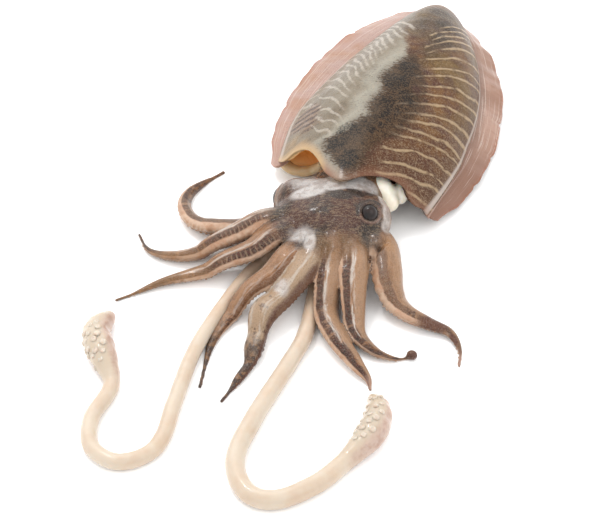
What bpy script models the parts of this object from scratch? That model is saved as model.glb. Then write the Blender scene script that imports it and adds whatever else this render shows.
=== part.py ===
# A whole raw cuttlefish, resting on its belly with its eight arms spread out
# in front of the head and its two long feeding tentacles laid in loops.
# Sizes are in millimetres; MM turns them into metres where a mesh is made.
# +X is the animal's left, +Y runs from the arms to the tail, +Z is up.

import math
from functools import partial

import bmesh
import bpy
from mathutils import Matrix, Vector

MM = 0.001

# The mantle is the body's leaf-shaped bag. Its middle line starts at the point over
# the neck and runs to the tail, turned away from +Y by the heading.
MANTLE_TIP = Vector((15.1, 4.4, 0.0))
HEADING = math.radians(-19.0)
MANTLE_LENGTH = 161.0
WIDEST_AT = 50.0
HALF_WIDTH = 42.0
TAIL_NARROWING = 0.32
FRONT_NARROWING = 7.0
SEAM_HEIGHT = 10.5
DOME_RISE = 29.0
FRONT_DROP = 9.0
RIDGE_SHARPNESS = 1.3
FRONT_RIDGE_SHARPNESS = 2.2
RIGHT_FLANK_SHARPNESS = 2.0
BELLY_FLATNESS = 0.55
# The back part bows a little to the animal's left, from here to the tail.
LEAN_START = 62.0
LEAN_REACH = 2.7

# How far the mantle's mouth is cut back from its point, by the turn about the middle line
# in degrees: 0 is the top, 90 the animal's left, -90 its right, 180 the belly. The deep notch
# on the right is the water hole.
MOUTH_EDGE = (
    (-180, 36.0), (-145, 33.5), (-118, 27.0), (-95, 19.0), (-78, 17.0), (-64, 17.8), (-50, 22.5), (-36, 19.0),
    (-25, 12.0), (-14, 3.5), (0, 1.0), (14, 6.5), (28, 11.2), (43, 13.0), (55, 10.0), (70, 12.3), (92, 12.5),
    (118, 24.0), (145, 33.0), (180, 36.0),
)
MOUTH_DEPTH = 27.0
MOUTH_WALL = 3.6
WALL_TURN_SHARE = 0.12

# The fins are two soft hems along the seam: width at each share of their length.
FINS = {
    "fin_left": {"side": 1.0, "start": 17.0, "edge_height": 3.4, "extra_width": 1.5},
    "fin_right": {"side": -1.0, "start": 25.0, "edge_height": 7.0, "extra_width": 0.0},
}
FIN_END = 159.0
FIN_WIDTHS = (
    (0.0, 1.5), (0.1, 6.5), (0.25, 9.0), (0.45, 11.5), (0.68, 13.5), (0.86, 13.0), (0.95, 9.0), (1.0, 2.0),
)
FIN_ROOT = 5.0
FIN_THICKNESS = 2.3
FIN_WAVES = 6.5
FIN_WAVE_HEIGHT = 0.9
FIN_SCALLOPS = 15.0
FIN_SCALLOP_DEPTH = 0.4

# Rounded masses that make up the head: centre, radii, and turn from the heading.
HEAD_MASSES = (
    ("skull", (9.5, -2.0, 15.0), (24.0, 22.0, 14.6), 0.0),
    ("neck", (18.0, 13.0, 15.5), (16.5, 28.0, 13.0), 0.0),
    ("nape", (7.5, 5.5, 14.5), (21.0, 12.0, 13.0), 0.0),
    ("right_eye_bulge", (-5.0, 9.0, 14.0), (10.0, 10.5, 12.0), 0.0),
    ("left_eye_bulge", (26.5, -5.0, 15.0), (10.5, 14.0, 12.2), 0.0),
    ("arm_crown", (8.5, -15.0, 12.5), (23.5, 15.0, 12.0), 0.0),
    ("collar_lobe", (34.0, 12.0, 16.0), (8.0, 6.5, 8.0), 0.3),
    ("collar_tip", (41.0, 14.5, 12.5), (5.0, 4.6, 6.8), 0.0),
)

# Each arm: the route of its middle, its width at the base, how long it stays thick,
# and how far its flat sucker side is rolled from facing down, towards the left of its run.
ARMS = {
    "arm_a": {
        "route": (
            (0, -4, 12), (-18, -4, 11), (-33, -1, 7), (-45, 2, 5), (-53, 7, 0), (-57, 17, 0),
            (-55, 27, 0), (-48, 36, 0), (-39, 44, 0),
        ),
        "width": 11.8,
        "fullness": 2.4,
        "roll": 0.9,
    },
    "arm_b": {
        "route": (
            (0, -5, 14), (-18, -5, 15), (-30, -8, 11), (-43, -12, 7), (-54, -15, 0), (-64, -14, 0),
            (-72, -9, 0), (-77, 2, 0),
        ),
        "width": 15.5,
        "fullness": 1.6,
        "roll": 0.85,
    },
    "arm_c": {
        "route": (
            (0, -9, 14), (-13, -14, 16), (-25, -21, 12), (-38, -24, 8), (-51, -27, 0),
            (-64, -30, 0), (-75, -35, 0), (-85, -40, 0),
        ),
        "width": 16.0,
        "fullness": 1.4,
        "roll": 0.75,
    },
    "arm_d": {
        "route": (
            (4, -13, 14), (-7, -27, 17), (-16, -36, 13), (-27, -43, 9), (-36, -54, 0),
            (-42, -67, 0), (-46, -91, 0),
        ),
        "width": 15.5,
        "fullness": 1.0,
        "roll": 0.2,
    },
    "arm_e": {
        "route": (
            (6, -12, 14), (3, -24, 18), (-3, -36, 15), (-12, -46, 9), (-20, -56, 8), (-23, -68, 0),
            (-25, -78, 0), (-31, -89, 0), (-37, -99, 0),
        ),
        "width": 14.5,
        "fullness": 2.1,
        "roll": 0.3,
    },
    "arm_f": {
        "route": (
            (10, -14, 14), (11, -26, 18), (9, -35, 14), (8, -44, 10), (8, -56, 0), (13, -69, 0),
            (20, -80, 0), (25, -87, 0), (26, -92.5, 0),
        ),
        "width": 12.0,
        "fullness": 6.5,
        "roll": -0.85,
    },
    "arm_g": {
        "route": (
            (15, -14, 14), (20, -30, 16), (19.5, -41, 13), (19.5, -52, 8), (21, -64, 0),
            (28, -72, 0), (36, -75, 0), (44, -74, 0),
        ),
        "width": 14.2,
        "fullness": 2.4,
        "roll": -0.85,
    },
    "arm_h": {
        "route": (
            (20, -8, 12), (31, -17, 12), (34, -30, 11), (35.5, -42, 8), (41.5, -51, 0),
            (52, -57, 0), (61, -61, 0), (65, -70, 0), (64, -79, 0),
        ),
        "width": 19.0,
        "fullness": 1.4,
        "roll": -0.8,
    },
}
ARM_HEIGHT_SHARE = 0.46
ARM_UNDERSIDE_SHARE = 0.32
ROLLED_LIFT = 0.12
ARM_TIP_WIDTH = 1.8
ARM_PROFILE_POINTS = 20

# Each tentacle: its route, the side its suckers face, and its widths.
TENTACLES = {
    "tentacle_right": {
        "route": (
            (-4, -4, 9), (-16, -14, 6), (-28, -28, 0), (-47, -67, 0), (-56, -101, 0), (-60, -120, 0),
            (-67, -130, 0), (-79, -133, 0), (-89, -125, 0), (-90, -110, 0), (-83, -92, 0), (-88, -75, 0),
            (-91, -63, 0), (-86, -51, 0),
        ),
        "widths": (5.8, 7.0),
        "club_width": 12.6,
        "sucker_side": Vector((-0.75, -0.15, 0.65)),
    },
    "tentacle_left": {
        "route": (
            (4, -10, 9), (4, -28, 6), (-1, -61, 0), (-8, -79, 0), (-23, -111, 0), (-30, -133, 0),
            (-25, -149, 0), (-13, -153, 0), (3, -145, 0), (16, -132, 0), (26, -120, 0), (29, -107, 0),
            (27, -99, 0),
        ),
        "widths": (6.3, 8.2),
        "club_width": 12.4,
        "sucker_side": Vector((-0.55, 0.45, 0.7)),
    },
}
CLUB_START = 0.83
CLUB_TIP_WIDTH = 4.5
CLUB_SUCKERS = ((0.865, 1.0), (0.885, 1.4), (0.905, 1.8), (0.925, 1.9), (0.945, 1.7), (0.965, 1.3))
SUCKER_ROWS = (-0.62, 0.0, 0.62)

EYES = {
    "eye_left": {"centre": Vector((27.0, -9.0, 23.2)), "radii": (4.6, 5.0, 6.0)},
    "eye_right": {"centre": Vector((-11.9, 12.6, 13.8)), "radii": (4.0, 5.0, 5.6)},
}
EYE_GAP = 0.3

# Finish of the fused solid.
FLOOR_GAP = 0.15
FUSE_STEP = 0.8
BLEND_ROUNDS = 5
BODY_TRIANGLES = 8800
REST_CUT = 0.3
FLOOR_BLOCK = (400.0, 500.0, 20.0)

SKIN_COLOUR = (0.30, 0.19, 0.13, 1.0)
EYE_COLOUR = (0.012, 0.012, 0.016, 1.0)


def blend_table(table, share):
    # Value at a share along a table of (share, value) rows, eased from row to row.
    for (start, first), (end, second) in zip(table, table[1:]):
        if share <= end:
            step = max(0.0, (share - start) / (end - start))
            return first + (second - first) * step * step * (3.0 - 2.0 * step)
    return table[-1][1]


def place(along, across, height):
    # A point given along and across the mantle's middle line, as a point in the model.
    turned = Matrix.Rotation(HEADING, 3, "Z") @ Vector((across, along, 0.0))
    return MANTLE_TIP + turned + Vector((0.0, 0.0, height))


def half_width(along):
    if along < WIDEST_AT:
        return HALF_WIDTH - FRONT_NARROWING * ((WIDEST_AT - along) / WIDEST_AT) ** 1.3
    reach = min(1.0, (along - WIDEST_AT) / (MANTLE_LENGTH - WIDEST_AT))
    return HALF_WIDTH * math.sqrt(1.0 - reach**2) * (1.0 - TAIL_NARROWING * reach**2)


def dome_rise(along):
    if along < WIDEST_AT:
        return DOME_RISE - FRONT_DROP * ((WIDEST_AT - along) / WIDEST_AT) ** 2
    reach = min(1.0, (along - WIDEST_AT) / (MANTLE_LENGTH - WIDEST_AT))
    return DOME_RISE * (1.0 - reach**2) ** 0.65 * (1.0 - 0.1 * reach**2)


def belly_drop(along):
    reach = max(0.0, min(1.0, (along - WIDEST_AT) / (MANTLE_LENGTH - WIDEST_AT)))
    return SEAM_HEIGHT * (1.0 - reach**2) ** 0.25


def mouth_edge(turn):
    # How far back the mantle's edge lies at a turn about its middle line, on a smooth curve.
    angle = math.degrees(math.atan2(math.sin(turn), math.cos(turn)))
    ahead, behind = MOUTH_EDGE[1], MOUTH_EDGE[-2]
    rows = [(behind[0] - 360, behind[1]), *MOUTH_EDGE, (ahead[0] + 360, ahead[1])]
    for before, start, end, after in zip(rows, rows[1:], rows[2:], rows[3:]):
        if angle <= end[0]:
            break
    gap = end[0] - start[0]
    t = (angle - start[0]) / gap
    leaving = (end[1] - before[1]) / (end[0] - before[0]) * gap
    arriving = (after[1] - start[1]) / (after[0] - start[0]) * gap
    eased = t * t * (3.0 - 2.0 * t)
    bend = leaving * t * (1.0 - t) ** 2 - arriving * t * t * (1.0 - t)
    return start[1] + (end[1] - start[1]) * eased + bend


def lean(along):
    reach = (along - LEAN_START) / (MANTLE_LENGTH - LEAN_START)
    return LEAN_REACH * math.sin(math.pi * max(0.0, min(1.0, reach)))


def mantle_section(along, turn):
    # (across, height) of the mantle's outside at one place along it. The right flank slopes
    # down straighter than the left one, as on a tent.
    side, up = math.sin(turn), math.cos(turn)
    if up >= 0.0:
        to_front = max(0.0, 1.0 - along / WIDEST_AT)
        sharpness = RIDGE_SHARPNESS + (FRONT_RIDGE_SHARPNESS - RIDGE_SHARPNESS) * to_front
        if side < 0.0:
            sharpness = max(sharpness, RIGHT_FLANK_SHARPNESS)
        height = SEAM_HEIGHT + dome_rise(along) * up**sharpness
    else:
        height = SEAM_HEIGHT - belly_drop(along) * (-up) ** BELLY_FLATNESS
    return half_width(along) * side + lean(along), height


def mantle_point(share, turn):
    # From the tail (0) over the outside to the mouth's edge (1) and down into the mouth (2).
    edge = mouth_edge(turn)
    if share <= 1.0:
        along = edge + (MANTLE_LENGTH - edge) * math.cos(share * math.pi / 2.0)
        return place(along, *mantle_section(along, turn))
    inside = share - 1.0
    along = edge + MOUTH_DEPTH * math.sin(inside * math.pi / 2.0)
    across, height = mantle_section(along, turn)
    middle = SEAM_HEIGHT + 0.5 * (dome_rise(along) - belly_drop(along))
    spread = math.hypot(across, height - middle)
    wall = MOUTH_WALL * math.sin(min(1.0, inside / WALL_TURN_SHARE) * math.pi / 2.0)
    keep = max(0.0, 1.0 - wall / spread) * max(0.0, math.cos(inside * math.pi / 2.0)) ** 0.4
    return place(along, across * keep, middle + (height - middle) * keep)


def object_from(name, mesh_builder, collection):
    mesh = bpy.data.meshes.new(name)
    mesh_builder.to_mesh(mesh)
    mesh_builder.free()
    made = bpy.data.objects.new(name, mesh)
    collection.objects.link(made)
    return made


def make_mantle(collection):
    # A sphere with one pole on the tail and the other pushed in to make the mouth.
    builder = bmesh.new()
    bmesh.ops.create_uvsphere(builder, u_segments=96, v_segments=112, radius=1.0)
    for vertex in builder.verts:
        fall = math.acos(max(-1.0, min(1.0, vertex.co.z)))
        turn = math.atan2(vertex.co.x, vertex.co.y)
        vertex.co = mantle_point(2.0 * fall / math.pi, turn) * MM
    bmesh.ops.recalc_face_normals(builder, faces=builder.faces)
    return object_from("mantle", builder, collection)


def make_fin(name, fin, collection):
    side = fin["side"]
    builder = bmesh.new()
    bmesh.ops.create_grid(builder, x_segments=120, y_segments=8, size=0.5)
    for vertex in builder.verts:
        share, out = vertex.co.x + 0.5, vertex.co.y + 0.5
        along = fin["start"] + (FIN_END - fin["start"]) * share
        root = max(0.0, half_width(along) - FIN_ROOT)
        scallop = FIN_SCALLOP_DEPTH * math.sin(share * FIN_SCALLOPS * math.tau) * out
        hem = blend_table(FIN_WIDTHS, share) + fin["extra_width"] * math.sin(share * math.pi)
        reach = hem + half_width(along) - root + scallop
        wave = FIN_WAVE_HEIGHT * math.sin(share * FIN_WAVES * math.tau + side) * out**1.5
        height = SEAM_HEIGHT + (fin["edge_height"] - SEAM_HEIGHT) * out**1.3 + wave
        vertex.co = place(along, side * (root + reach * out), height) * MM
    fin = object_from(name, builder, collection)
    thicken = fin.modifiers.new("thickness", "SOLIDIFY")
    thicken.thickness = FIN_THICKNESS * MM
    thicken.offset = 0.0
    return fin


def make_mass(name, centre, radii, turn, collection):
    builder = bmesh.new()
    bmesh.ops.create_uvsphere(builder, u_segments=48, v_segments=32, radius=1.0)
    shape = Matrix.Diagonal((*radii, 1.0))
    facing = Matrix.Rotation(HEADING + turn, 4, "Z")
    to_place = Matrix.Scale(MM, 4) @ Matrix.Translation(centre) @ facing @ shape
    bmesh.ops.transform(builder, matrix=to_place, verts=builder.verts)
    return object_from(name, builder, collection)


def make_profile(name, back, underside, collection):
    # The cross-section drawn along an arm: one unit wide, rounded above and flatter below.
    outline = bpy.data.curves.new(name, "CURVE")
    outline.dimensions = "2D"
    spline = outline.splines.new("POLY")
    spline.points.add(ARM_PROFILE_POINTS - 1)
    spline.use_cyclic_u = True
    for index, point in enumerate(spline.points):
        angle = math.tau * index / ARM_PROFILE_POINTS
        up = math.sin(angle)
        height = back * up if up > 0.0 else -underside * abs(up) ** 0.6
        point.co = (0.5 * math.cos(angle), height, 0.0, 1.0)
    profile = bpy.data.objects.new(name, outline)
    profile.hide_render = True
    profile.display_type = "WIRE"
    collection.objects.link(profile)
    return profile


def shares_of(route):
    # Share of the route's length reached at each of its points.
    lengths = [0.0]
    for first, second in zip(route, route[1:]):
        lengths.append(lengths[-1] + (Vector(second) - Vector(first)).length)
    return [length / lengths[-1] for length in lengths]


def arm_width(arm, share):
    return max(ARM_TIP_WIDTH, arm["width"] * (1.0 - share ** arm["fullness"]))


def tentacle_width(tentacle, share):
    thin, thick = tentacle["widths"]
    club_width = tentacle["club_width"]
    width = thin + (thick - thin) * min(1.0, share * 2.0)
    if share <= CLUB_START:
        return width
    club = (share - CLUB_START) / (1.0 - CLUB_START)
    if club < 0.5:
        return width + (club_width - width) * math.sin(club * math.pi) ** 1.5
    return CLUB_TIP_WIDTH + (club_width - CLUB_TIP_WIDTH) * math.cos((club - 0.5) * math.pi) ** 0.6


def rounded_route(route, steps):
    # The route with more points between its own, on a Catmull-Rom curve.
    ends = [Vector(point) for point in route]
    ends = [2 * ends[0] - ends[1], *ends, 2 * ends[-1] - ends[-2]]
    points = []
    for before, start, end, after in zip(ends, ends[1:], ends[2:], ends[3:]):
        for step in range(steps):
            t = step / steps
            points.append(
                0.5 * (2 * start + (end - before) * t + (2 * before - 5 * start + 4 * end - after) * t**2
                       + (3 * start - before - 3 * end + after) * t**3)
            )
    points.append(ends[-2])
    return points


def make_limb(name, route, width_at, lowest_share, roll, profile, collection):
    # A limb drawn along its route, which lies on the floor where the route has no height.
    points = rounded_route(route, 6)
    path = bpy.data.curves.new(name, "CURVE")
    path.dimensions = "3D"
    path.twist_mode = "Z_UP"
    path.bevel_mode = "OBJECT"
    path.bevel_object = profile
    path.use_fill_caps = True
    spline = path.splines.new("POLY")
    spline.points.add(len(points) - 1)
    for point, place_on, share in zip(spline.points, points, shares_of(points)):
        width = width_at(share)
        height = max(place_on.z, lowest_share * width + FLOOR_GAP)
        point.co = (place_on.x * MM, place_on.y * MM, height * MM, 1.0)
        point.radius = width * MM
        point.tilt = roll
    drawn = bpy.data.objects.new(name, path)
    collection.objects.link(drawn)
    bpy.context.view_layer.update()
    mesh = bpy.data.meshes.new_from_object(drawn.evaluated_get(bpy.context.evaluated_depsgraph_get()))
    bpy.data.objects.remove(drawn)
    builder = bmesh.new()
    builder.from_mesh(mesh)
    bmesh.ops.remove_doubles(builder, verts=builder.verts, dist=0.00001)
    return object_from(name, builder, collection)


def make_suckers(name, tentacle, collection):
    # Domed suckers in rows on one side of the club at the tentacle's end.
    points = rounded_route(tentacle["route"], 6)
    shares = shares_of(points)
    facing = tentacle["sucker_side"].normalized()
    builder = bmesh.new()
    for share, radius in CLUB_SUCKERS:
        index = min(range(len(shares)), key=lambda i: abs(shares[i] - share))
        run = (points[min(index + 1, len(points) - 1)] - points[index - 1]).normalized()
        across = run.cross(facing).normalized()
        half = tentacle_width(tentacle, shares[index]) / 2.0
        middle = Vector((points[index].x, points[index].y, half + FLOOR_GAP))
        for row in SUCKER_ROWS:
            out = (facing * math.cos(row) + across * math.sin(row)).normalized()
            sized = radius * (1.0 - 0.25 * abs(row))
            to_place = Matrix.Translation((middle + out * (half - 0.25 * sized)) * MM)
            bmesh.ops.create_uvsphere(
                builder, u_segments=12, v_segments=8, radius=sized * MM, matrix=to_place
            )
    return object_from(name, builder, collection)


def fuse(name, pieces, collection):
    # Joins overlapping shapes into one closed skin, softens the seams and thins the mesh.
    builder = bmesh.new()
    graph = bpy.context.evaluated_depsgraph_get()
    for piece in pieces:
        builder.from_object(piece, graph)
        bpy.data.objects.remove(piece)
    bmesh.ops.triangulate(builder, faces=builder.faces)
    fused = object_from(name, builder, collection)
    remesh = fused.modifiers.new("fuse", "REMESH")
    remesh.mode = "VOXEL"
    remesh.voxel_size = FUSE_STEP * MM
    soften = fused.modifiers.new("soften", "SMOOTH")
    soften.iterations = BLEND_ROUNDS
    soften.factor = 0.5
    bake_modifiers(fused)
    keep_largest(fused.data)
    mend_pinches(fused.data)
    thin = fused.modifiers.new("thin", "DECIMATE")
    thin.ratio = BODY_TRIANGLES / len(fused.data.polygons)
    bake_modifiers(fused)
    return fused


def bake_modifiers(piece):
    bpy.context.view_layer.update()
    baked = bpy.data.meshes.new_from_object(piece.evaluated_get(bpy.context.evaluated_depsgraph_get()))
    piece.modifiers.clear()
    piece.data = baked


def keep_largest(mesh):
    # Sealed hollows between the fused shapes are loose shells inside the skin.
    builder = bmesh.new()
    builder.from_mesh(mesh)
    left = set(builder.verts)
    shells = []
    while left:
        shell, edge = set(), [left.pop()]
        while edge:
            vertex = edge.pop()
            shell.add(vertex)
            for link in vertex.link_edges:
                other = link.other_vert(vertex)
                if other in left:
                    left.remove(other)
                    edge.append(other)
        shells.append(shell)
    shells.sort(key=len)
    for shell in shells[:-1]:
        bmesh.ops.delete(builder, geom=list(shell), context="VERTS")
    builder.to_mesh(mesh)
    builder.free()


def mend_pinches(mesh):
    # Where two folds of the fused skin share an edge, the faces around it give way to one patch.
    builder = bmesh.new()
    builder.from_mesh(mesh)
    pinched = {vertex for edge in builder.edges if len(edge.link_faces) > 2 for vertex in edge.verts}
    while pinched:
        around = {face for vertex in pinched for face in vertex.link_faces}
        bmesh.ops.delete(builder, geom=list(around), context="FACES")
        bmesh.ops.holes_fill(builder, edges=[edge for edge in builder.edges if edge.is_boundary], sides=0)
        pinched = {vertex for edge in builder.edges if len(edge.link_faces) > 2 for vertex in edge.verts}
    bmesh.ops.triangulate(builder, faces=builder.faces)
    bmesh.ops.recalc_face_normals(builder, faces=builder.faces)
    builder.to_mesh(mesh)
    builder.free()


def make_material(name, colour, roughness):
    material = bpy.data.materials.new(name)
    material.use_nodes = True
    shader = material.node_tree.nodes["Principled BSDF"]
    shader.inputs["Base Color"].default_value = colour
    shader.inputs["Roughness"].default_value = roughness
    shader.inputs["Metallic"].default_value = 0.0
    return material


def make_eye(name, eye, grow, collection):
    builder = bmesh.new()
    bmesh.ops.create_uvsphere(builder, u_segments=20, v_segments=12, radius=1.0)
    shape = Matrix.Diagonal((*(radius + grow for radius in eye["radii"]), 1.0))
    facing = Matrix.Rotation(HEADING, 4, "Z")
    to_place = Matrix.Scale(MM, 4) @ Matrix.Translation(eye["centre"]) @ facing @ shape
    bmesh.ops.transform(builder, matrix=to_place, verts=builder.verts)
    return object_from(name, builder, collection)


def make_floor_block(collection):
    # Its top takes a hair off everything that lies on the floor, which leaves flat spots to rest on.
    builder = bmesh.new()
    bmesh.ops.create_cube(builder, size=1.0)
    to_place = Matrix.Translation((0.0, 0.0, (REST_CUT - FLOOR_BLOCK[2] / 2.0) * MM))
    shape = Matrix.Diagonal((*(side * MM for side in FLOOR_BLOCK), 1.0))
    bmesh.ops.transform(builder, matrix=to_place @ shape, verts=builder.verts)
    return object_from("floor_block", builder, collection)


def cut_away(piece, cutter, name):
    cutter.hide_render = True
    cutter.display_type = "WIRE"
    cut = piece.modifiers.new(name, "BOOLEAN")
    cut.operation = "DIFFERENCE"
    cut.object = cutter


def build():
    for old in list(bpy.data.objects):
        bpy.data.objects.remove(old)
    cuttlefish = bpy.data.collections.new("cuttlefish")
    helpers = bpy.data.collections.new("cutters")
    for collection in (cuttlefish, helpers):
        bpy.context.scene.collection.children.link(collection)

    pieces = [make_mantle(cuttlefish)]
    for name, fin in FINS.items():
        pieces.append(make_fin(name, fin, cuttlefish))
    for name, centre, radii, turn in HEAD_MASSES:
        pieces.append(make_mass(name, centre, radii, turn, cuttlefish))
    flat_backed = make_profile("arm_profile", ARM_HEIGHT_SHARE, ARM_UNDERSIDE_SHARE, helpers)
    round_all_over = make_profile("tentacle_profile", 0.5, 0.5, helpers)
    for name, arm in ARMS.items():
        lowest = ARM_UNDERSIDE_SHARE + ROLLED_LIFT * abs(arm["roll"])
        width_at = partial(arm_width, arm)
        pieces.append(make_limb(name, arm["route"], width_at, lowest, arm["roll"], flat_backed, cuttlefish))
    for name, tentacle in TENTACLES.items():
        width_at = partial(tentacle_width, tentacle)
        pieces.append(make_limb(name, tentacle["route"], width_at, 0.5, 0.0, round_all_over, cuttlefish))
        pieces.append(make_suckers(name + "_suckers", tentacle, cuttlefish))
    body = fuse("cuttlefish_body", pieces, cuttlefish)
    body.data.materials.append(make_material("skin", SKIN_COLOUR, 0.4))
    floor = make_floor_block(helpers)
    cut_away(body, floor, "rest_flat")
    solids = [body]
    eye_material = make_material("eye", EYE_COLOUR, 0.08)
    for name, eye in EYES.items():
        cut_away(body, make_eye(name + "_socket", eye, EYE_GAP, helpers), name + "_socket")
        ball = make_eye(name, eye, 0.0, cuttlefish)
        ball.data.materials.append(eye_material)
        solids.append(ball)

    bpy.context.view_layer.update()
    corners = [body.matrix_world @ Vector(corner) for corner in body.bound_box]
    lows = [min(corner[axis] for corner in corners) for axis in (0, 1)]
    highs = [max(corner[axis] for corner in corners) for axis in (0, 1)]
    middle = Vector(((lows[0] + highs[0]) / 2.0, (lows[1] + highs[1]) / 2.0, REST_CUT * MM))
    for piece in [*solids, *helpers.objects]:
        piece.location = -middle
    print("middle of the box, mm:", [round(value / MM, 3) for value in middle])


build()
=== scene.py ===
# A whole raw cuttlefish: wet mottled skin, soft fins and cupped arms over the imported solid.
import math

import bpy
import numpy as np
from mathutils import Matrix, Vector, noise


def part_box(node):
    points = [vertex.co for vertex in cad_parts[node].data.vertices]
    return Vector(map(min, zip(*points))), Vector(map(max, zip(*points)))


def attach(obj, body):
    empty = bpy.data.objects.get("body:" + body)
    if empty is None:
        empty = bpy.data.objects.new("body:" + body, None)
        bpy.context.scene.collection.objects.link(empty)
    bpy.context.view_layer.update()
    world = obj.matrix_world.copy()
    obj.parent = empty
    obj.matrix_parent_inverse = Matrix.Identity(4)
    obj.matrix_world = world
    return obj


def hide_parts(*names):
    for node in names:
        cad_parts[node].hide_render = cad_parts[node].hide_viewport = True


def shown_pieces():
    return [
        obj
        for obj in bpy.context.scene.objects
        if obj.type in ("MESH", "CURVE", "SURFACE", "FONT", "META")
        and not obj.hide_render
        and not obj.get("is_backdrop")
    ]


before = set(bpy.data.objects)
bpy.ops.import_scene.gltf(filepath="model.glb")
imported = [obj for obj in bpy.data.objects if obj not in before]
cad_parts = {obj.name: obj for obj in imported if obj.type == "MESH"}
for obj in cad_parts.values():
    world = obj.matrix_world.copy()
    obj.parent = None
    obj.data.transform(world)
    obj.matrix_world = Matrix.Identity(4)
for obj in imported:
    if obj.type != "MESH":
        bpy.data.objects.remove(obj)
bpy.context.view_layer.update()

mm = 0.001
heading = math.radians(-19)  # the mantle points this far off +Y
eyeMiddle = Vector((27, -9, 23.2))  # the left eye in the layout, mm
lowCorner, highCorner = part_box("eye_left")
shift = np.array((lowCorner + highCorner) / 2 - eyeMiddle * mm)
floorLevel = -shift[2] / mm + 0.02  # just above the floor in the layout, mm

# Camera, lights and floor
studio = {
    "target": (-3.6, -13), "distance": 0.9, "elevation": 45, "lens": 120, "sensor": 36,
    "world": 1.5, "floor": (0.97, 0.97, 0.97, 1), "floorSize": 8, "nearest": 0.01,
    "brightness": 1.85, "haze": 0.055,
    "lamps": (
        # place, size, power; each looks at the middle of the animal
        ((-0.35, 0.6, 0.9), 1.1, 4.5), ((-0.28, 0.3, 0.95), 0.12, 2), ((0.75, -0.45, 0.9), 1, 2.2),
    ),
    "lampAim": (0, 0, 0.02),
}


def makeStudio():
    tilt = math.radians(studio["elevation"])
    aim = Vector((studio["target"][0] * mm + shift[0], studio["target"][1] * mm + shift[1], 0))
    back = Vector((0, -math.cos(tilt), math.sin(tilt))) * studio["distance"]
    bpy.ops.object.camera_add(location=aim + back, rotation=(math.pi / 2 - tilt, 0, 0))
    camera = bpy.context.object
    camera.data.lens = studio["lens"]
    camera.data.sensor_width = studio["sensor"]
    camera.data.clip_start = studio["nearest"]
    bpy.context.scene.camera = camera
    for place, size, power in studio["lamps"]:
        bpy.ops.object.light_add(type="AREA", location=place)
        lamp = bpy.context.object
        lamp.data.shape = "DISK"
        lamp.data.size = size
        lamp.data.energy = power
        toward = Vector(studio["lampAim"]) - Vector(place)
        lamp.rotation_euler = toward.to_track_quat("-Z", "Y").to_euler()
    room = bpy.data.worlds.new("room")
    room.use_nodes = True
    light = room.node_tree.nodes["Background"].inputs
    light["Color"].default_value = (1, 1, 1, 1)
    light["Strength"].default_value = studio["world"]
    bpy.context.scene.world = room
    bpy.context.scene.view_settings.view_transform = "Standard"
    bpy.ops.mesh.primitive_plane_add(size=studio["floorSize"])
    floor = bpy.context.object
    floor.name = "floor"
    paper = bpy.data.materials.new("paper")
    paper.use_nodes = True
    dull = paper.node_tree.nodes["Principled BSDF"].inputs
    dull["Base Color"].default_value = studio["floor"]
    dull["Roughness"].default_value = 1
    floor.data.materials.append(paper)
    floor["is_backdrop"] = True


# Working with meshes
def pick(*objects):
    bpy.ops.object.select_all(action="DESELECT")
    for thing in objects:
        thing.select_set(True)
    bpy.context.view_layer.objects.active = objects[0]


def rawRows(piece, kind="co"):
    # Places or normals of the vertices, three numbers to a row, as the mesh keeps them.
    flat = np.empty(len(piece.data.vertices) * 3, np.float32)
    piece.data.vertices.foreach_get(kind, flat)
    return flat.reshape(-1, 3).astype(float)


def readSkin(piece):
    # The vertices in layout millimetres, and their normals.
    return (rawRows(piece) - shift) / mm, rawRows(piece, "normal")


def writePoints(piece, points):
    flat = (np.asarray(points) * mm + shift).astype(np.float32)
    piece.data.vertices.foreach_set("co", flat.ravel())
    piece.data.update()


def layDown(piece, points):
    # Writes the points with none of them under the floor.
    points[:, 2] = np.maximum(points[:, 2], floorLevel)
    writePoints(piece, points)


def makeBall(name, segments, rings):
    # A ball of radius 1, with the rows of its points.
    bpy.ops.mesh.primitive_uv_sphere_add(segments=segments, ring_count=rings, radius=1)
    ball = bpy.context.object
    ball.name = name
    return ball, rawRows(ball)


def store(piece, name, *values):
    # One value or three kept at every vertex, for the material to read.
    kind, field = ("FLOAT_VECTOR", "vector") if len(values) == 3 else ("FLOAT", "value")
    layer = piece.data.attributes.new(name, kind, "POINT")
    layer.data.foreach_set(field, np.column_stack(values).astype(np.float32).ravel())


def applyAll(piece):
    pick(piece)
    for modifier in list(piece.modifiers):
        bpy.ops.object.modifier_apply(modifier=modifier.name)


def inEditing(piece, *steps):
    # Runs the steps on the whole piece in edit mode.
    pick(piece)
    bpy.ops.object.mode_set(mode="EDIT")
    bpy.ops.mesh.select_all(action="SELECT")
    for step in steps:
        step()
    bpy.ops.object.mode_set(mode="OBJECT")


def closeUp(piece, gap=0.00002):
    # Merges doubled points and turns every face outwards.
    inEditing(
        piece, lambda: bpy.ops.mesh.remove_doubles(threshold=gap),
        lambda: bpy.ops.mesh.normals_make_consistent(inside=False),
    )


def keepSkin(piece):
    # Splits off the closed hollows inside a fused skin and deletes them.
    name = piece.name
    inEditing(piece, lambda: bpy.ops.mesh.separate(type="LOOSE"))
    shells = sorted(bpy.context.selected_objects, key=lambda shell: len(shell.data.vertices))
    for shell in shells[:-1]:
        bpy.data.objects.remove(shell)
    shells[-1].name = name
    return shells[-1]


def fuse(name, shapes, step, rounds):
    # Joins overlapping shapes into one skin and softens it.
    pick(*shapes)
    bpy.ops.object.join()
    skin = bpy.context.object
    skin.name = name
    remesh = skin.modifiers.new("fuse", "REMESH")
    remesh.mode = "VOXEL"
    remesh.voxel_size = step * mm
    soften = skin.modifiers.new("soften", "SMOOTH")
    soften.iterations = rounds
    soften.factor = 0.5
    applyAll(skin)
    return keepSkin(skin)


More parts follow.
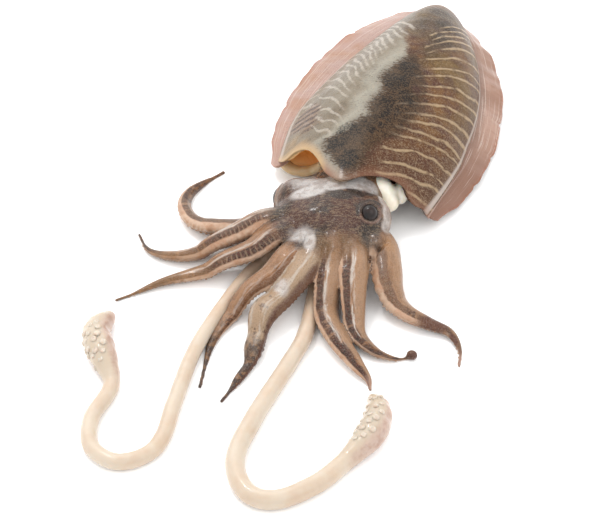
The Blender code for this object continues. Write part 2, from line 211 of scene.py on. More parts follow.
def finishPiece(piece, material, nodes=("cuttlefish_body",)):
    piece.data.materials.clear()
    piece.data.materials.append(material)
    pick(piece)
    bpy.ops.object.shade_smooth()
    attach(piece, "root")
    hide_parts(*nodes)


def ease(values, start, end):
    # 0 at the start, 1 at the end, smooth between; the start may be the higher number.
    share = np.clip((values - start) / (end - start), 0, 1)
    return share * share * (3 - 2 * share)


def hump(values, middle, spread):
    # 1 at the middle, falling smoothly to 0 on both sides.
    return np.exp(-(((values - middle) / spread) ** 2))


def cloud(points, size, offset=0):
    # Smooth noise from -1 to 1 with features of about this many millimetres.
    return np.array([noise.noise(spot) for spot in points / size + offset])


def touch(points, strokes):
    # Painted strength from a few soft round strokes: centre, radii, strength.
    total = np.zeros(len(points))
    for centre, radii, strength in strokes:
        away = np.linalg.norm((points - np.array(centre)) / np.array(radii), axis=1)
        total = np.maximum(total, strength * ease(away, 1.25, 0.35))
    return total


def turnFlat(points, angle):
    x, y, z = points.T
    turned = x * math.cos(angle) - y * math.sin(angle), x * math.sin(angle) + y * math.cos(angle)
    return np.column_stack((*turned, z))


# Material building
def tint(red, green, blue):
    # A colour as it should look on the screen, made linear; over 255 it is lighter than white, a painted
    # light for pieces that sit in shade.
    shares = [channel / 255 for channel in (red, green, blue)]
    linear = [share / 12.92 if share <= 0.04045 else ((share + 0.055) / 1.055) ** 2.4 for share in shares]
    # the white room mirrored in wet skin adds a little white to every colour
    return (*(max(0.3 * value, value - studio["haze"]) / studio["brightness"] for value in linear), 1)


class Recipe:
    # One material's nodes, added a step at a time; its colour is painted in layers.
    wetSockets = (
        "Subsurface Weight", "Subsurface Scale", "Subsurface Radius",
        "Coat Weight", "Coat Roughness", "Specular IOR Level",
    )

    def __init__(self, name):
        self.material = bpy.data.materials.new(name)
        self.material.use_nodes = True
        self.tree = self.material.node_tree
        self.place = self.add("TexCoord", {}, "Object")
        self.colour = None

    def feed(self, value, socket):
        if isinstance(value, bpy.types.NodeSocket):
            self.tree.links.new(value, socket)
        else:
            socket.default_value = value

    def add(self, kind, inputs, output=0, **settings):
        made = self.tree.nodes.new("ShaderNode" + kind)
        for setting, value in settings.items():
            setattr(made, setting, value)
        for socket, value in inputs.items():
            self.feed(value, made.inputs[socket])
        return made.outputs[output]

    def number(self, name):
        return self.add("Attribute", {}, "Fac", attribute_name=name)

    def vector(self, name):
        return self.add("Attribute", {}, "Vector", attribute_name=name)

    def parts(self, name):
        # The three values kept under this name.
        split = self.add("SeparateXYZ", {0: self.vector(name)}).node
        return tuple(split.outputs)

    def calc(self, operation, *values):
        return self.add("Math", dict(enumerate(values)), operation=operation)

    def chain(self, operation, total, *values):
        for value in values:
            total = self.calc(operation, total, value)
        return total

    def plus(self, *values):
        return self.chain("ADD", *values)

    def times(self, *values):
        return self.chain("MULTIPLY", *values)

    def shifted(self, value, reach=1):
        # Noise moved to lie round zero, and made this much stronger.
        return self.times(self.plus(value, -0.5), reach)

    def between(self, value, start, end, low=0, high=1):
        inputs = {"Value": value, "From Min": start, "From Max": end, "To Min": low, "To Max": high}
        return self.add("MapRange", inputs, interpolation_type="SMOOTHSTEP")

    def stretch(self, value, outer, inner, farInner, farOuter):
        # 1 while the value is from inner to farInner, and 0 outside the other two.
        return self.times(self.between(value, outer, inner), self.between(value, farOuter, farInner))

    def noise(self, scale, detail=3, roughness=0.55, distortion=0, at=None):
        inputs = {
            "Vector": at or self.place, "Scale": scale, "Detail": detail,
            "Roughness": roughness, "Distortion": distortion,
        }
        return self.add("TexNoise", inputs)

    def streaks(self, at, scales, *texture):
        # Noise with its own scale along each axis.
        return self.noise(1, *texture, at=self.add("Mapping", {"Vector": at, "Scale": scales}))

    def dots(self, scale):
        # Small round dots, one in every cell.
        cells = self.add("TexVoronoi", {"Vector": self.place, "Scale": scale})
        return self.between(cells, 0.36, 0.14)

    def mix(self, share, first, second):
        ends = [end if isinstance(end, bpy.types.NodeSocket) else tint(*end) for end in (first, second)]
        return self.add("Mix", {0: share, 6: ends[0], 7: ends[1]}, 2, data_type="RGBA")

    def tones(self, value, start, end, first, second):
        # One colour passing into another as the value goes from start to end.
        return self.mix(self.between(value, start, end), first, second)

    def paint(self, colour, *shares):
        # A colour over the layers before it, as strong as all these shares multiplied.
        self.colour = self.mix(self.times(*shares), self.colour, colour)

    def bump(self, height, depth, strength, below=None):
        inputs = {"Height": height, "Distance": depth * mm, "Strength": strength}
        if below is not None:
            inputs["Normal"] = below
        return self.add("Bump", inputs)

    def finish(self, roughness, normal, flesh, wet):
        # flesh: light inside it, how far and for each colour; wet: coat, its roughness, mirroring
        sockets = self.tree.nodes["Principled BSDF"].inputs
        self.feed(self.colour, sockets["Base Color"])
        self.feed(roughness, sockets["Roughness"])
        if normal is not None:
            self.feed(normal, sockets["Normal"])
        for name, value in zip(self.wetSockets, (*flesh, *wet)):
            self.feed(value, sockets[name])
        return self.material


def makeFlesh(name, patches, light, deep, grain, roughness, flesh, wet):
    # Plain flesh: two tones in soft patches, and a grain with its scale, detail, depth and strength.
    recipe = Recipe(name)
    recipe.colour = recipe.tones(recipe.noise(patches), 0.35, 0.7, light, deep)
    scale, detail, depth, strength = grain
    return recipe.finish(roughness, recipe.bump(recipe.noise(scale, detail), depth, strength), flesh, wet)


makeStudio()
print("studio ready")


# The mantle: the leaf-shaped bag, on the same measures as its solid
mantle = {
    "tip": (15.1, 4.4), "length": 161, "widestAt": 50, "halfWidth": 42, "tailNarrowing": 0.32,
    "frontNarrowing": 7, "seamHeight": 10.5, "domeRise": 29, "frontDrop": 9, "ridge": 1.3,
    "frontRidge": 2.2, "rightFlank": 2, "bellyFlatness": 0.55, "leanStart": 62, "leanReach": 2.7,
    "mouthEdge": (
        # turn in degrees, 0 on top and 90 at the animal's left; how far the edge is cut back
        (-180, 36), (-145, 33.5), (-118, 29.5), (-95, 26.5), (-78, 23.5), (-64, 20.8), (-50, 22.3), (-36, 19),
        (-25, 12), (-14, 3.5), (0, 1), (14, 6.5), (28, 11.2), (43, 13), (55, 10), (70, 12.3), (92, 12.5),
        (118, 24), (145, 33), (180, 36),
    ),
    "mouthDepth": 17, "wall": 3.6, "wallTurn": 0.12,
    "segments": 224, "rings": 264, "outsideShare": 0.86, "unevenness": 0.4,
    # where each cream line lies 20 mm from the middle, and how fast it sweeps to the tail
    "linesLeft": {
        "starts": (8, 15.5, 21, 28.5, 36.3, 40.5, 46.3, 51.5, 58.8, 65.7, 72.7, 81.5, 88.4, 98.8, 108.7,
                   117.9, 125, 133, 141),
        "sweep": ((0, 0.5), (20, 0.6), (40, 0.45), (52, 0.7), (66, 0.82), (80, 1), (100, 1.15), (110, 1.6),
                  (150, 2)),
    },
    "linesRight": {
        "starts": (30, 37, 43, 50, 57.6, 64, 71.7, 78.6, 85, 91.8, 98, 103.6, 110, 116, 122, 128, 133, 139),
        "sweep": ((30, 0.9), (58, 1.05), (72, 1.5), (90, 1.8), (115, 1.9), (140, 1.3)),
    },
    "blotch": (
        # along, left edge, right edge of the dark marking
        (3, 1, 2), (6, -2, 5), (10, -8, 5), (16, -14, 6), (23, -15.5, 7.5), (28, -5, 11), (34, -4, 15),
        (40, -0.5, 17.5), (47, -2.5, 19), (52, -1, 20), (56.5, 1, 19.5), (67, -3, 18), (76, 0, 15.5),
        (85, 2.5, 10), (91, 6, 7),
    ),
    "darkest": (
        # along, across, radius along, radius across, strength
        (78, 7, 9, 6, 1), (66, 5, 9, 8, 0.95), (57, 13, 8, 7, 0.8), (27, -6, 7, 8, 1), (20, -9, 7, 7, 0.95),
        (34, 3, 8, 7, 0.75), (48, 5, 9, 7, 0.7), (12, -1, 8, 6, 1), (40, 6, 9, 8, 0.6),
    ),
    "brownTop": ((127, 12, 11, 10, 1), (112, 14, 14, 9, 0.9), (98, 12, 9, 6, 0.6), (140, 6, 10, 10, 0.9),
                 (122, 2, 16, 8, 0.75)),
    "stripes": ((46, -33, 11, 9, 1), (37, -28, 9, 7, 0.6)),
    "purple": ((83, 25.5, 5, 4, 0.9), (81, 29, 4, 3, 0.6), (65, 15, 5, 4, 0.7), (72, 33, 4, 3, 0.4)),
    "warm": ((20, -31, 11, 9, 1), (31, -35, 9, 7, 0.6)),
}
mantleTip = (*mantle["tip"], 0)


def place(along, across, height):
    # From along and across the mantle's middle line to the layout.
    return turnFlat(np.column_stack((across, along, height)), heading) + mantleTip


def unplace(points):
    # The layout back to along and across the mantle's middle line.
    across, along, _ = turnFlat(points - mantleTip, -heading).T
    return along, across


def tailReach(along):
    return np.clip((along - mantle["widestAt"]) / (mantle["length"] - mantle["widestAt"]), 0, 1)


def frontReach(along):
    return np.clip((mantle["widestAt"] - along) / mantle["widestAt"], 0, None)


def halfWidth(along):
    reach = tailReach(along)
    tail = np.sqrt(1 - reach**2) * (1 - mantle["tailNarrowing"] * reach**2)
    return mantle["halfWidth"] * tail - mantle["frontNarrowing"] * frontReach(along) ** 1.3


def domeRise(along):
    reach = tailReach(along)
    tail = (1 - reach**2) ** 0.65 * (1 - 0.1 * reach**2)
    return mantle["domeRise"] * tail - mantle["frontDrop"] * frontReach(along) ** 2


def bellyDrop(along):
    return mantle["seamHeight"] * (1 - tailReach(along) ** 2) ** 0.25


def lean(along):
    reach = np.clip((along - mantle["leanStart"]) / (mantle["length"] - mantle["leanStart"]), 0, 1)
    return mantle["leanReach"] * np.sin(math.pi * reach)


def mouthEdge(turn):
    # A smooth curve through the table of the mouth's edge.
    angle = np.degrees(np.arctan2(np.sin(turn), np.cos(turn)))
    table = mantle["mouthEdge"]
    rows = np.array([(table[-2][0] - 360, table[-2][1]), *table, (table[1][0] + 360, table[1][1])], float)
    at = np.clip(np.searchsorted(rows[1:-1, 0], angle), 1, len(table) - 1)
    before, start, end, after = rows[at - 1], rows[at], rows[at + 1], rows[at + 2]
    gap = end[:, 0] - start[:, 0]
    t = (angle - start[:, 0]) / gap
    leaving = (end[:, 1] - before[:, 1]) / (end[:, 0] - before[:, 0]) * gap
    arriving = (after[:, 1] - start[:, 1]) / (after[:, 0] - start[:, 0]) * gap
    bend = leaving * t * (1 - t) ** 2 - arriving * t * t * (1 - t)
    return start[:, 1] + (end[:, 1] - start[:, 1]) * t * t * (3 - 2 * t) + bend


def mantleSection(along, turn):
    side, up = np.sin(turn), np.cos(turn)
    front = np.maximum(0, 1 - along / mantle["widestAt"])
    sharpness = mantle["ridge"] + (mantle["frontRidge"] - mantle["ridge"]) * front
    sharpness = np.where(side < 0, np.maximum(sharpness, mantle["rightFlank"]), sharpness)
    above = mantle["seamHeight"] + domeRise(along) * np.maximum(up, 0) ** sharpness
    below = mantle["seamHeight"] - bellyDrop(along) * np.maximum(-up, 0) ** mantle["bellyFlatness"]
    return halfWidth(along) * side + lean(along), np.where(up >= 0, above, below)


def lineDistance(along, across, creamLines):
    # How far each point is from the nearest cream line, in mm; halving finds where its own line starts.
    low, high = np.full_like(along, -60), np.full_like(along, 190)
    sweepAt, slope = zip(*creamLines["sweep"])
    for _ in range(24):
        middle = (low + high) / 2
        tooFar = middle + np.interp(middle, sweepAt, slope) * (np.abs(across) - 20) > along
        high = np.where(tooFar, middle, high)
        low = np.where(tooFar, low, middle)
    away = np.abs(middle[:, None] - np.array(creamLines["starts"])[None, :]).min(axis=1)
    return away / np.hypot(1, np.interp(middle, sweepAt, slope))


def spots(along, across, patches):
    total = np.zeros_like(along)
    for alongAt, acrossAt, alongRadius, acrossRadius, strength in patches:
        away = np.hypot((along - alongAt) / alongRadius, (across - acrossAt) / acrossRadius)
        total = np.maximum(total, strength * ease(away, 1.4, 0.2))
    return total


def makeMantle():
    # A ball opened at the front and pushed in on itself: outside first, then the wall of the pocket.
    bag, ball = makeBall("mantle", mantle["segments"], mantle["rings"])
    fall = np.arccos(np.clip(ball[:, 2], -1, 1)) / math.pi
    turn = np.arctan2(ball[:, 0], ball[:, 1])
    kept = mantle["outsideShare"]
    share = np.where(fall <= kept, fall / kept, 1 + (fall - kept) / (1 - kept))
    edge = mouthEdge(turn)
    outside = edge + (mantle["length"] - edge) * np.cos(np.minimum(share, 1) * math.pi / 2)
    inside = np.maximum(share - 1, 0)
    along = np.where(share <= 1, outside, edge + mantle["mouthDepth"] * np.sin(inside * math.pi / 2))
    across, height = mantleSection(along, turn)
    middle = mantle["seamHeight"] + 0.5 * (domeRise(along) - bellyDrop(along))
    spread = np.hypot(across, height - middle)
    wall = mantle["wall"] * np.sin(np.minimum(1, inside / mantle["wallTurn"]) * math.pi / 2)
    keep = np.maximum(0, 1 - wall / np.maximum(spread, 0.01))
    keep *= np.maximum(0, np.cos(inside * math.pi / 2)) ** 0.4
    keep = np.where(share <= 1, 1, keep)
    across, height = across * keep, middle + (height - middle) * keep
    points = place(along, across, height)
    uneven = cloud(points, 18) + 0.5 * cloud(points, 7, 5)
    points[:, 2] += mantle["unevenness"] * uneven * ease(height, 10, 20)
    layDown(bag, points)
    store(bag, "inner", share)
    store(bag, "lip", ease(np.abs(share - 1), 0.03, 0) * (0.4 + 0.6 * ease(across, 1, -12)))
    closeUp(bag, 0.000001)
    return bag


def makeMantleSkin():
    skin = Recipe("mantleSkin")
    across, along, height = skin.parts("skinMap")
    lineLeft, lineRight, seamNear = skin.parts("lineMap")
    blotch, darkest, brownTop = skin.parts("blotchMap")
    stripes, purple, warm = skin.parts("patchMap")
    inner = skin.number("inner")
    lengthwise = skin.vector("skinMap")
    wide = skin.noise(45)
    medium = skin.noise(170, 4, 0.6)
    fine = skin.noise(750, 4, 0.7)
    dashes = skin.streaks(lengthwise, (0.45, 1.5, 0.45), 4, 0.65, 0.6)
    mediumShift, fineShift = skin.shifted(medium), skin.shifted(fine)
    # brown on the animal's left
    skin.colour = skin.tones(medium, 0.35, 0.68, (142, 107, 78), (106, 78, 56))
    skin.paint((140, 118, 80), 0.6, skin.between(wide, 0.42, 0.6), skin.between(along, 45, 75))
    skin.paint((112, 86, 68), 0.8, skin.between(along, 58, 16))
    # painted shade: the brown darker close to the seam, where the flank turns down
    skin.paint((112, 90, 74), skin.between(seamNear, 9, 2, 0, 0.45))
    brown = skin.colour
    # pale grey on its right, partly its own colour and partly a painted sheen of wet skin, palest by the dark
    # marking and dimmer towards the seam; a ragged border between them
    nearBlotch = skin.plus(blotch, skin.shifted(medium, 8))
    skin.colour = skin.tones(wide, 0.38, 0.62, (166, 156, 140), (142, 130, 115))
    skin.paint((202, 198, 184), skin.between(nearBlotch, -12, -4, 0, 0.7))
    skin.paint((148, 136, 119), skin.between(seamNear, 24, 10, 0, 0.7))
    skin.paint((130, 117, 101), skin.between(along, 90, 125, 0, 0.75))
    border = skin.plus(across, skin.shifted(medium, 9), skin.shifted(dashes, 8))
    leftShare = skin.between(skin.plus(border, skin.between(along, 84, 118, 0, 9)), 1.5, 5.5)
    skin.paint(brown, leftShare)
    skin.paint((64, 47, 34), 0.9, brownTop)
    # grey dashes scattered over the bleached side
    scattered = skin.times(skin.between(dashes, 0.57, 0.64), skin.between(wide, 0.4, 0.6, 0.25, 1))
    skin.paint((84, 76, 68), 0.8, scattered, skin.between(seamNear, 5, 16))
    # cream lines, wandering a little and broken here and there
    wobble = skin.shifted(fine, 0.9)
    thickness = skin.between(skin.noise(130, 2), 0.3, 0.7, 0.2, 0.6)
    core = skin.times(thickness, 0.6)
    broken = skin.between(skin.noise(220, 2), 0.28, 0.48, 0.3, 1)
    onLeft = skin.between(skin.plus(lineLeft, wobble), skin.plus(thickness, 0.45), core)
    onRight = skin.between(skin.plus(lineRight, wobble), skin.plus(thickness, 0.5), core)
    startLine = skin.plus(across, skin.shifted(skin.noise(90, 2), 26))
    onLeft = skin.times(onLeft, skin.between(startLine, 9, 15), broken)
    nearSeam = skin.between(skin.plus(seamNear, skin.shifted(medium, 12)), 31, 24)
    onRight = skin.times(onRight, nearSeam, skin.between(across, 4, -2), broken)
    skin.paint((96, 74, 58), 0.22, skin.between(lineLeft, 2.4, 0.9), leftShare)
    skin.paint((208, 182, 148), 0.8, onLeft)
    skin.paint((216, 206, 192), 0.72, onRight)
    curls = skin.calc("ABSOLUTE", skin.shifted(skin.streaks(lengthwise, (0.22, 0.75, 0.3), 2, 0.5, 1.2)))
    curlZone = skin.times(skin.between(along, 66, 52), skin.between(across, 8, 15))
    skin.paint((196, 174, 146), 0.5, skin.between(curls, 0.022, 0.008), curlZone)
    # the ragged dark marking along the ridge: marbled black over grey-brown
    ragged = skin.plus(blotch, skin.shifted(dashes, 16), skin.shifted(medium, 6), skin.shifted(fine, 9))
    inside = skin.between(ragged, -0.8, 0.8)
    soft = skin.between(nearBlotch, -6, 3)
    specks = skin.noise(1500, 2, 0.6)
    streaked = skin.streaks(lengthwise, (0.35, 0.6, 0.4), 5, 0.75, 1)
    marble = skin.between(skin.plus(skin.times(streaked, 0.6), skin.times(specks, 0.4)), 0.45, 0.55)
    dark = skin.mix(marble, (34, 27, 24), (112, 94, 80))
    browner = skin.between(skin.times(blotch, leftShare), 8, 2, 0, 0.35)
    skin.paint((96, 81, 70), 0.6, soft)
    skin.paint(skin.mix(browner, dark, (110, 92, 76)), 0.9, inside)
    middle = skin.plus(darkest, skin.shifted(fine, 1.5), skin.shifted(medium, 0.8))
    skin.paint((38, 31, 29), skin.between(middle, 0.4, 0.85), skin.between(marble, 0, 1, 0.9, 0.45))
    skin.paint((180, 160, 140), 0.3, onLeft, soft)
    skin.paint((98, 74, 72), 0.6, skin.between(skin.plus(purple, fineShift), 0.3, 0.8))
    # brown bars on the right shoulder, and warm cream above the water hole
    shoulder = skin.between(skin.plus(stripes, fineShift, mediumShift), 0.25, 0.7)
    bars = skin.calc("SINE", skin.plus(skin.times(along, 1.5), skin.shifted(medium, 4)))
    skin.paint((158, 128, 108), 0.7, shoulder)
    skin.paint((92, 62, 50), 0.9, skin.between(bars, -0.3, 0.4), shoulder)
    skin.paint((196, 160, 116), 0.6, skin.between(skin.plus(warm, mediumShift), 0.2, 0.9))
    # tiny pigment dots and pale grain all over
    skin.paint((76, 60, 50), 0.6, skin.dots(1100), skin.between(fine, 0.35, 0.6, 0.1, 0.7))
    skin.paint((206, 184, 156), skin.between(specks, 0.5, 0.62), skin.between(inside, 0, 1, 0.28, 0.1))
    # whitish line over the fin seam, pale belly, orange throat and cream lips
    skin.paint((222, 208, 198), 0.85, skin.stretch(height, 0.2, 0.9, 1.8, 3.4))
    skin.paint((204, 172, 158), skin.between(height, 0.1, -0.6))
    skin.paint((222, 206, 190), skin.between(height, -2, -5))
    # painted light: the throat's colours go past white, a glow of thin flesh in the shaded hole
    hole = skin.tones(inner, 1.1, 1.5, (345, 285, 205), (350, 258, 150))
    skin.paint(skin.tones(across, -4, 4, hole, (104, 78, 60)), skin.between(inner, 1, 1.07))
    skin.paint(skin.tones(across, -14, -8, (224, 190, 148), (176, 132, 112)), skin.number("lip"))
    wrinkles = skin.bump(skin.noise(900, 4, 0.7), 0.16, 0.8, skin.bump(medium, 0.6, 0.5))
    relief = skin.bump(skin.calc("MAXIMUM", onLeft, onRight), 0.22, 0.5, wrinkles)
    roughness = skin.between(fine, 0.3, 0.7, 0.3, 0.5)
    return skin.finish(roughness, relief, (0.08, 0.0025, (1, 0.5, 0.3)), (0.12, 0.14, 0.1))


def dressMantle():
    bag = makeMantle()
    points, _ = readSkin(bag)
    along, across = unplace(points)
    height = points[:, 2] - mantle["seamHeight"]
    wander = 0.9 * cloud(points, 10, 2) + 0.2 * cloud(points, 4, 4)
    store(bag, "skinMap", across, along, height)
    lineLeft = lineDistance(along + 2 * wander, across, mantle["linesLeft"])
    lineRight = lineDistance(along + 3.4 * wander, across, mantle["linesRight"])
    fromMiddle = across - lean(along)
    seamNear = halfWidth(np.clip(along, 0, mantle["length"] - 0.1)) - np.abs(fromMiddle)
    seamNear = np.where(fromMiddle < 0, seamNear, 0.45 * seamNear + 0.55 * np.minimum(seamNear, 9))
    store(bag, "lineMap", lineLeft, lineRight, seamNear)
    blotchAt, leftEdge, rightEdge = (np.array(column, float) for column in zip(*mantle["blotch"]))
    within = np.minimum.reduce([
        across - np.interp(along, blotchAt, leftEdge), np.interp(along, blotchAt, rightEdge) - across,
        along - blotchAt[0], blotchAt[-1] - along,
    ])
    within = np.clip(np.where(height > 2, within, -20), -20, 12)
    darkest = spots(along, across, mantle["darkest"]) * ease(height, 0, 4)
    store(bag, "blotchMap", within, darkest, spots(along, across, mantle["brownTop"]))
    patches = [spots(along, across, mantle[name]) for name in ("stripes", "purple", "warm")]
    store(bag, "patchMap", *(patch * ease(height, -0.5, 0.5) for patch in patches))
    finishPiece(bag, makeMantleSkin())


dressMantle()
print("mantle ready")

# The fins: two thin soft hems along the seam
fins = {
    "left": {"side": 1, "start": 17, "edgeHeight": 3.4, "extraWidth": 1.5, "hook": 2.5,
             "nicks": ((0.9, 1.8, 0.02), (0.52, 0.9, 0.012), (0.36, 0.7, 0.01), (0.2, 0.9, 0.012))},
    "right": {"side": -1, "start": 27, "edgeHeight": 7, "extraWidth": 0, "hook": 4.5,
              "nicks": ((0.78, 1.6, 0.012), (0.6, 0.7, 0.015), (0.3, 0.8, 0.014))},
    "end": 159, "root": 5, "thickness": 1.9, "waves": 4.5, "waveHeight": 0.8,
    "scallops": 11, "scallopDepth": 0.12,
    "widths": ((0, 1.5), (0.1, 6.5), (0.25, 9), (0.45, 11.5), (0.68, 13.5), (0.86, 13), (0.95, 9), (1, 2)),
    "alongSteps": 300, "outSteps": 16,
}


def easedTable(table, shares):
    total = np.full_like(shares, table[-1][1])
    for (start, first), (end, second) in reversed(list(zip(table, table[1:]))):
        step = np.clip((shares - start) / (end - start), 0, 1)
        total = np.where(shares <= end, first + (second - first) * step * step * (3 - 2 * step), total)
    return total


def makeFinFlesh():
    flesh = Recipe("finFlesh")
    share, out, side = flesh.parts("finMap")
    finMap = flesh.vector("finMap")
    crosswise = flesh.streaks(finMap, (46, 1.6, 3), 4, 0.6)
    blush = flesh.noise(60)
    flecks = flesh.noise(700, 3, 0.7)
    flesh.colour = flesh.tones(blush, 0.4, 0.62, (206, 170, 152), (186, 150, 132))
    flesh.paint((166, 138, 125), flesh.between(out, 0.62, 0.42, 0, 0.55))
    # painted shade: the fin darker towards its front, low by the seam
    flesh.paint((160, 124, 108), flesh.between(share, 0.5, 0.2, 0, 0.85))
    brownFin = flesh.colour
    flesh.colour = flesh.tones(blush, 0.4, 0.62, (208, 176, 164), (202, 162, 140))
    flesh.paint((206, 170, 158), flesh.between(share, 0.3, 0, 0, 0.6))
    flesh.paint(brownFin, flesh.between(side, -0.5, 0.5))
    # darker streaks across, pale ones along, a brown edge and dots
    flesh.paint((170, 132, 114), flesh.between(crosswise, 0.54, 0.72, 0, 0.28))
    lengthwise = flesh.streaks(finMap, (3, 20, 3), 3, 0.6)
    flesh.paint((238, 218, 206), flesh.between(lengthwise, 0.54, 0.64, 0, 0.6))
    flesh.paint((168, 112, 88), 0.75, flesh.between(out, 0.86, 1), flesh.between(flecks, 0.4, 0.6, 0.2, 1))
    cells = flesh.add("TexVoronoi", {"Vector": flesh.place, "Scale": 900})
    flesh.paint((120, 92, 80), 0.35, flesh.between(cells, 0.3, 0.12), flesh.between(out, 0.9, 0.5))
    relief = flesh.bump(crosswise, 0.4, 0.5, flesh.bump(flecks, 0.1, 0.5))
    return flesh.finish(0.34, relief, (0.25, 0.004, (1, 0.55, 0.4)), (0.3, 0.12, 0.18))


def makeFin(name, fin, flesh):
    steps = {"x_subdivisions": fins["alongSteps"], "y_subdivisions": fins["outSteps"]}
    bpy.ops.mesh.primitive_grid_add(size=1, **steps)
    hem = bpy.context.object
    hem.name = name
    share, out, _ = (rawRows(hem) + 0.5).T
    side = np.full(len(out), fin["side"])
    along = fin["start"] + (fins["end"] - fin["start"]) * share
    root = np.maximum(0, halfWidth(along) - fins["root"])
    scallop = fins["scallopDepth"] * np.sin(share * fins["scallops"] * math.tau) * out
    frill = cloud(np.column_stack((along, out * 4, side * 9)), 6)
    width = easedTable(fins["widths"], share) + fin["extraWidth"] * np.sin(share * math.pi)
    width = width + 0.5 * fin["hook"] * hump(share, 0, 0.05)
    for at, depth, spread in fin["nicks"]:
        width = width - depth * hump(share, at, spread) * out**3
    reach = width + halfWidth(along) - root + scallop + 0.3 * frill * out**2
    wave = fins["waveHeight"] * np.sin(share * fins["waves"] * math.tau + side) * out**1.5
    height = mantle["seamHeight"] + (fin["edgeHeight"] - mantle["seamHeight"]) * out**1.3
    height = height + wave + 0.5 * frill * out
    hooked = along - fin["hook"] * np.maximum(np.sin(math.pi * out), 0) ** 0.8 * hump(share, 0, 0.06)
    writePoints(hem, place(hooked, side * (root + reach * out), height))
    weights = hem.vertex_groups.new(name="thick")
    for index, amount in enumerate(1 - 0.6 * out):
        weights.add([index], amount, "REPLACE")
    store(hem, "finMap", share, out, side)
    thicken = hem.modifiers.new("thickness", "SOLIDIFY")
    thicken.thickness = fins["thickness"] * mm
    thicken.offset = 0
    thicken.vertex_group = "thick"
    smoothing = hem.modifiers.new("round", "SUBSURF")
    smoothing.levels = smoothing.render_levels = 1
    applyAll(hem)
    closeUp(hem)
    finishPiece(hem, flesh)


finFlesh = makeFinFlesh()
makeFin("finLeft", fins["left"], finFlesh)
makeFin("finRight", fins["right"], finFlesh)
print("fins ready")

# The head and the eight arms, fused into one skin
head = {
    "masses": (
        # centre, radii; each is turned with the mantle
        ((9.5, -2, 15), (24, 22, 14.6)), ((18, 13, 15.5), (16.5, 28, 13)),
        ((7.5, 5.5, 14.5), (21, 12, 13)), ((-5, 9, 14), (10, 10.5, 12)),
        ((26.5, -5, 15), (10.5, 14, 12.2)), ((8.5, -15, 12.5), (23.5, 15, 12)),
        ((44.3, -73.5, 2.4), (2.5, 2.2, 2.3)),
    ),
    "massSteps": (64, 40), "fuseStep": 0.6, "smoothing": 5,
    # where head turns into arms, as shares of the radii round the middle
    "middle": (9, -6), "radii": (30, 30), "edge": (1.3, 0.65),
    "foldHeight": 0.45, "lumpHeight": 0.35, "lumpSize": 6,
    # pale band and patches, partly the skin's own colour and partly painted highlight
    "pale": (
        # centre, radii, strength
        ((-1, 9.5, 24), (10, 7, 9), 0.5), ((0.5, 1.5, 26), (10, 5, 9), 0.9),
        ((9.8, 6.5, 28), (11, 6.5, 10), 1), ((19.7, 8.2, 29), (10, 5.5, 10), 1),
        ((28.5, 7.5, 28), (6.5, 4, 9), 1), ((34, 2, 25), (3.2, 7, 9), 0.8),
        ((35, -6, 20), (3, 7, 8), 0.7), ((34.6, -12.5, 18), (3.2, 5, 8), 0.55),
        ((-4, -20.5, 25), (8.5, 6, 8), 0.6), ((0.6, -25.5, 24), (3.6, 8, 8), 0.65),
        ((-11.5, -45, 13), (4.5, 5.5, 7), 0.75),
    ),
    # dark patches, partly the skin's own colour and partly painted shade
    "dark": (
        ((15, -1.5, 29), (7.5, 4.2, 8), 0.9), ((21.5, 1.5, 29), (6.5, 3.4, 8), 1),
        ((27, 2.5, 29), (4.5, 3.5, 8), 0.75), ((-10.6, 8.1, 19), (3.6, 6, 7), 0.8),
        ((-7.2, 17.5, 21), (5, 4, 7), 0.6), ((25.8, -22, 23), (3, 4.5, 6), 0.75),
        ((22.6, -6, 28), (4, 5.5, 7), 0.5), ((31.5, -24.5, 14), (2, 3, 5), 0.9),
        ((28, -28.5, 12), (1.7, 5, 6), 0.8), ((6.1, -9.5, 29), (12, 5.5, 8), 0.42),
    ),
    "warm": (
        ((36, -23, 15), (5, 4.5, 9), 0.8), ((39.5, -32, 10), (3, 9, 8), 0.75),
        ((-5.4, -26, 8), (5, 7, 8), 0.9), ((2.5, -38, 8), (4, 8, 8), 0.8),
        ((-13, -21, 10), (5, 4, 7), 0.8), ((16.5, -40, 8), (2.5, 8, 7), 0.7),
        ((14, -27, 22), (14, 8, 9), 0.6),
    ),
    "umber": (
        ((54, -58, 4), (9.5, 6, 8), 0.9), ((62, -66, 3), (4, 4.5, 6), 0.8),
        ((-24, -60, 4), (4, 6, 6), 0.4), ((44.6, -73.2, 2.4), (3.6, 3.6, 4), 1),
    ),
    "pink": (
        ((64, -76.5, 2), (4, 6, 5), 0.9), ((25.8, -91, 3), (5, 5, 6), 0.7),
        ((35, 3, 21), (3, 9, 8), 0.5), ((42, -35, 9), (3, 8, 7), 0.4),
    ),
    "folds": (
        # from, to, height of the ridge (or depth of the groove), width
        ((34.5, -21.5), (31, -25), -1.7, 1.3), ((31, -25), (27.6, -29), -1.9, 1.4),
        ((27.6, -29), (26.8, -36), -1.3, 1.3), ((13.1, -17), (12.6, -37), 0.9, 3),
        ((22.3, -18), (22, -37), 0.8, 3), ((17.4, -26), (16.8, -37), -0.9, 2),
        ((7.8, -28), (7.4, -38), -0.9, 1.6), ((-2.5, -24), (-8.5, -29), -0.9, 1.8),
        ((-12.5, -14.5), (-20, -14.5), -0.8, 1.8),
    ),
}
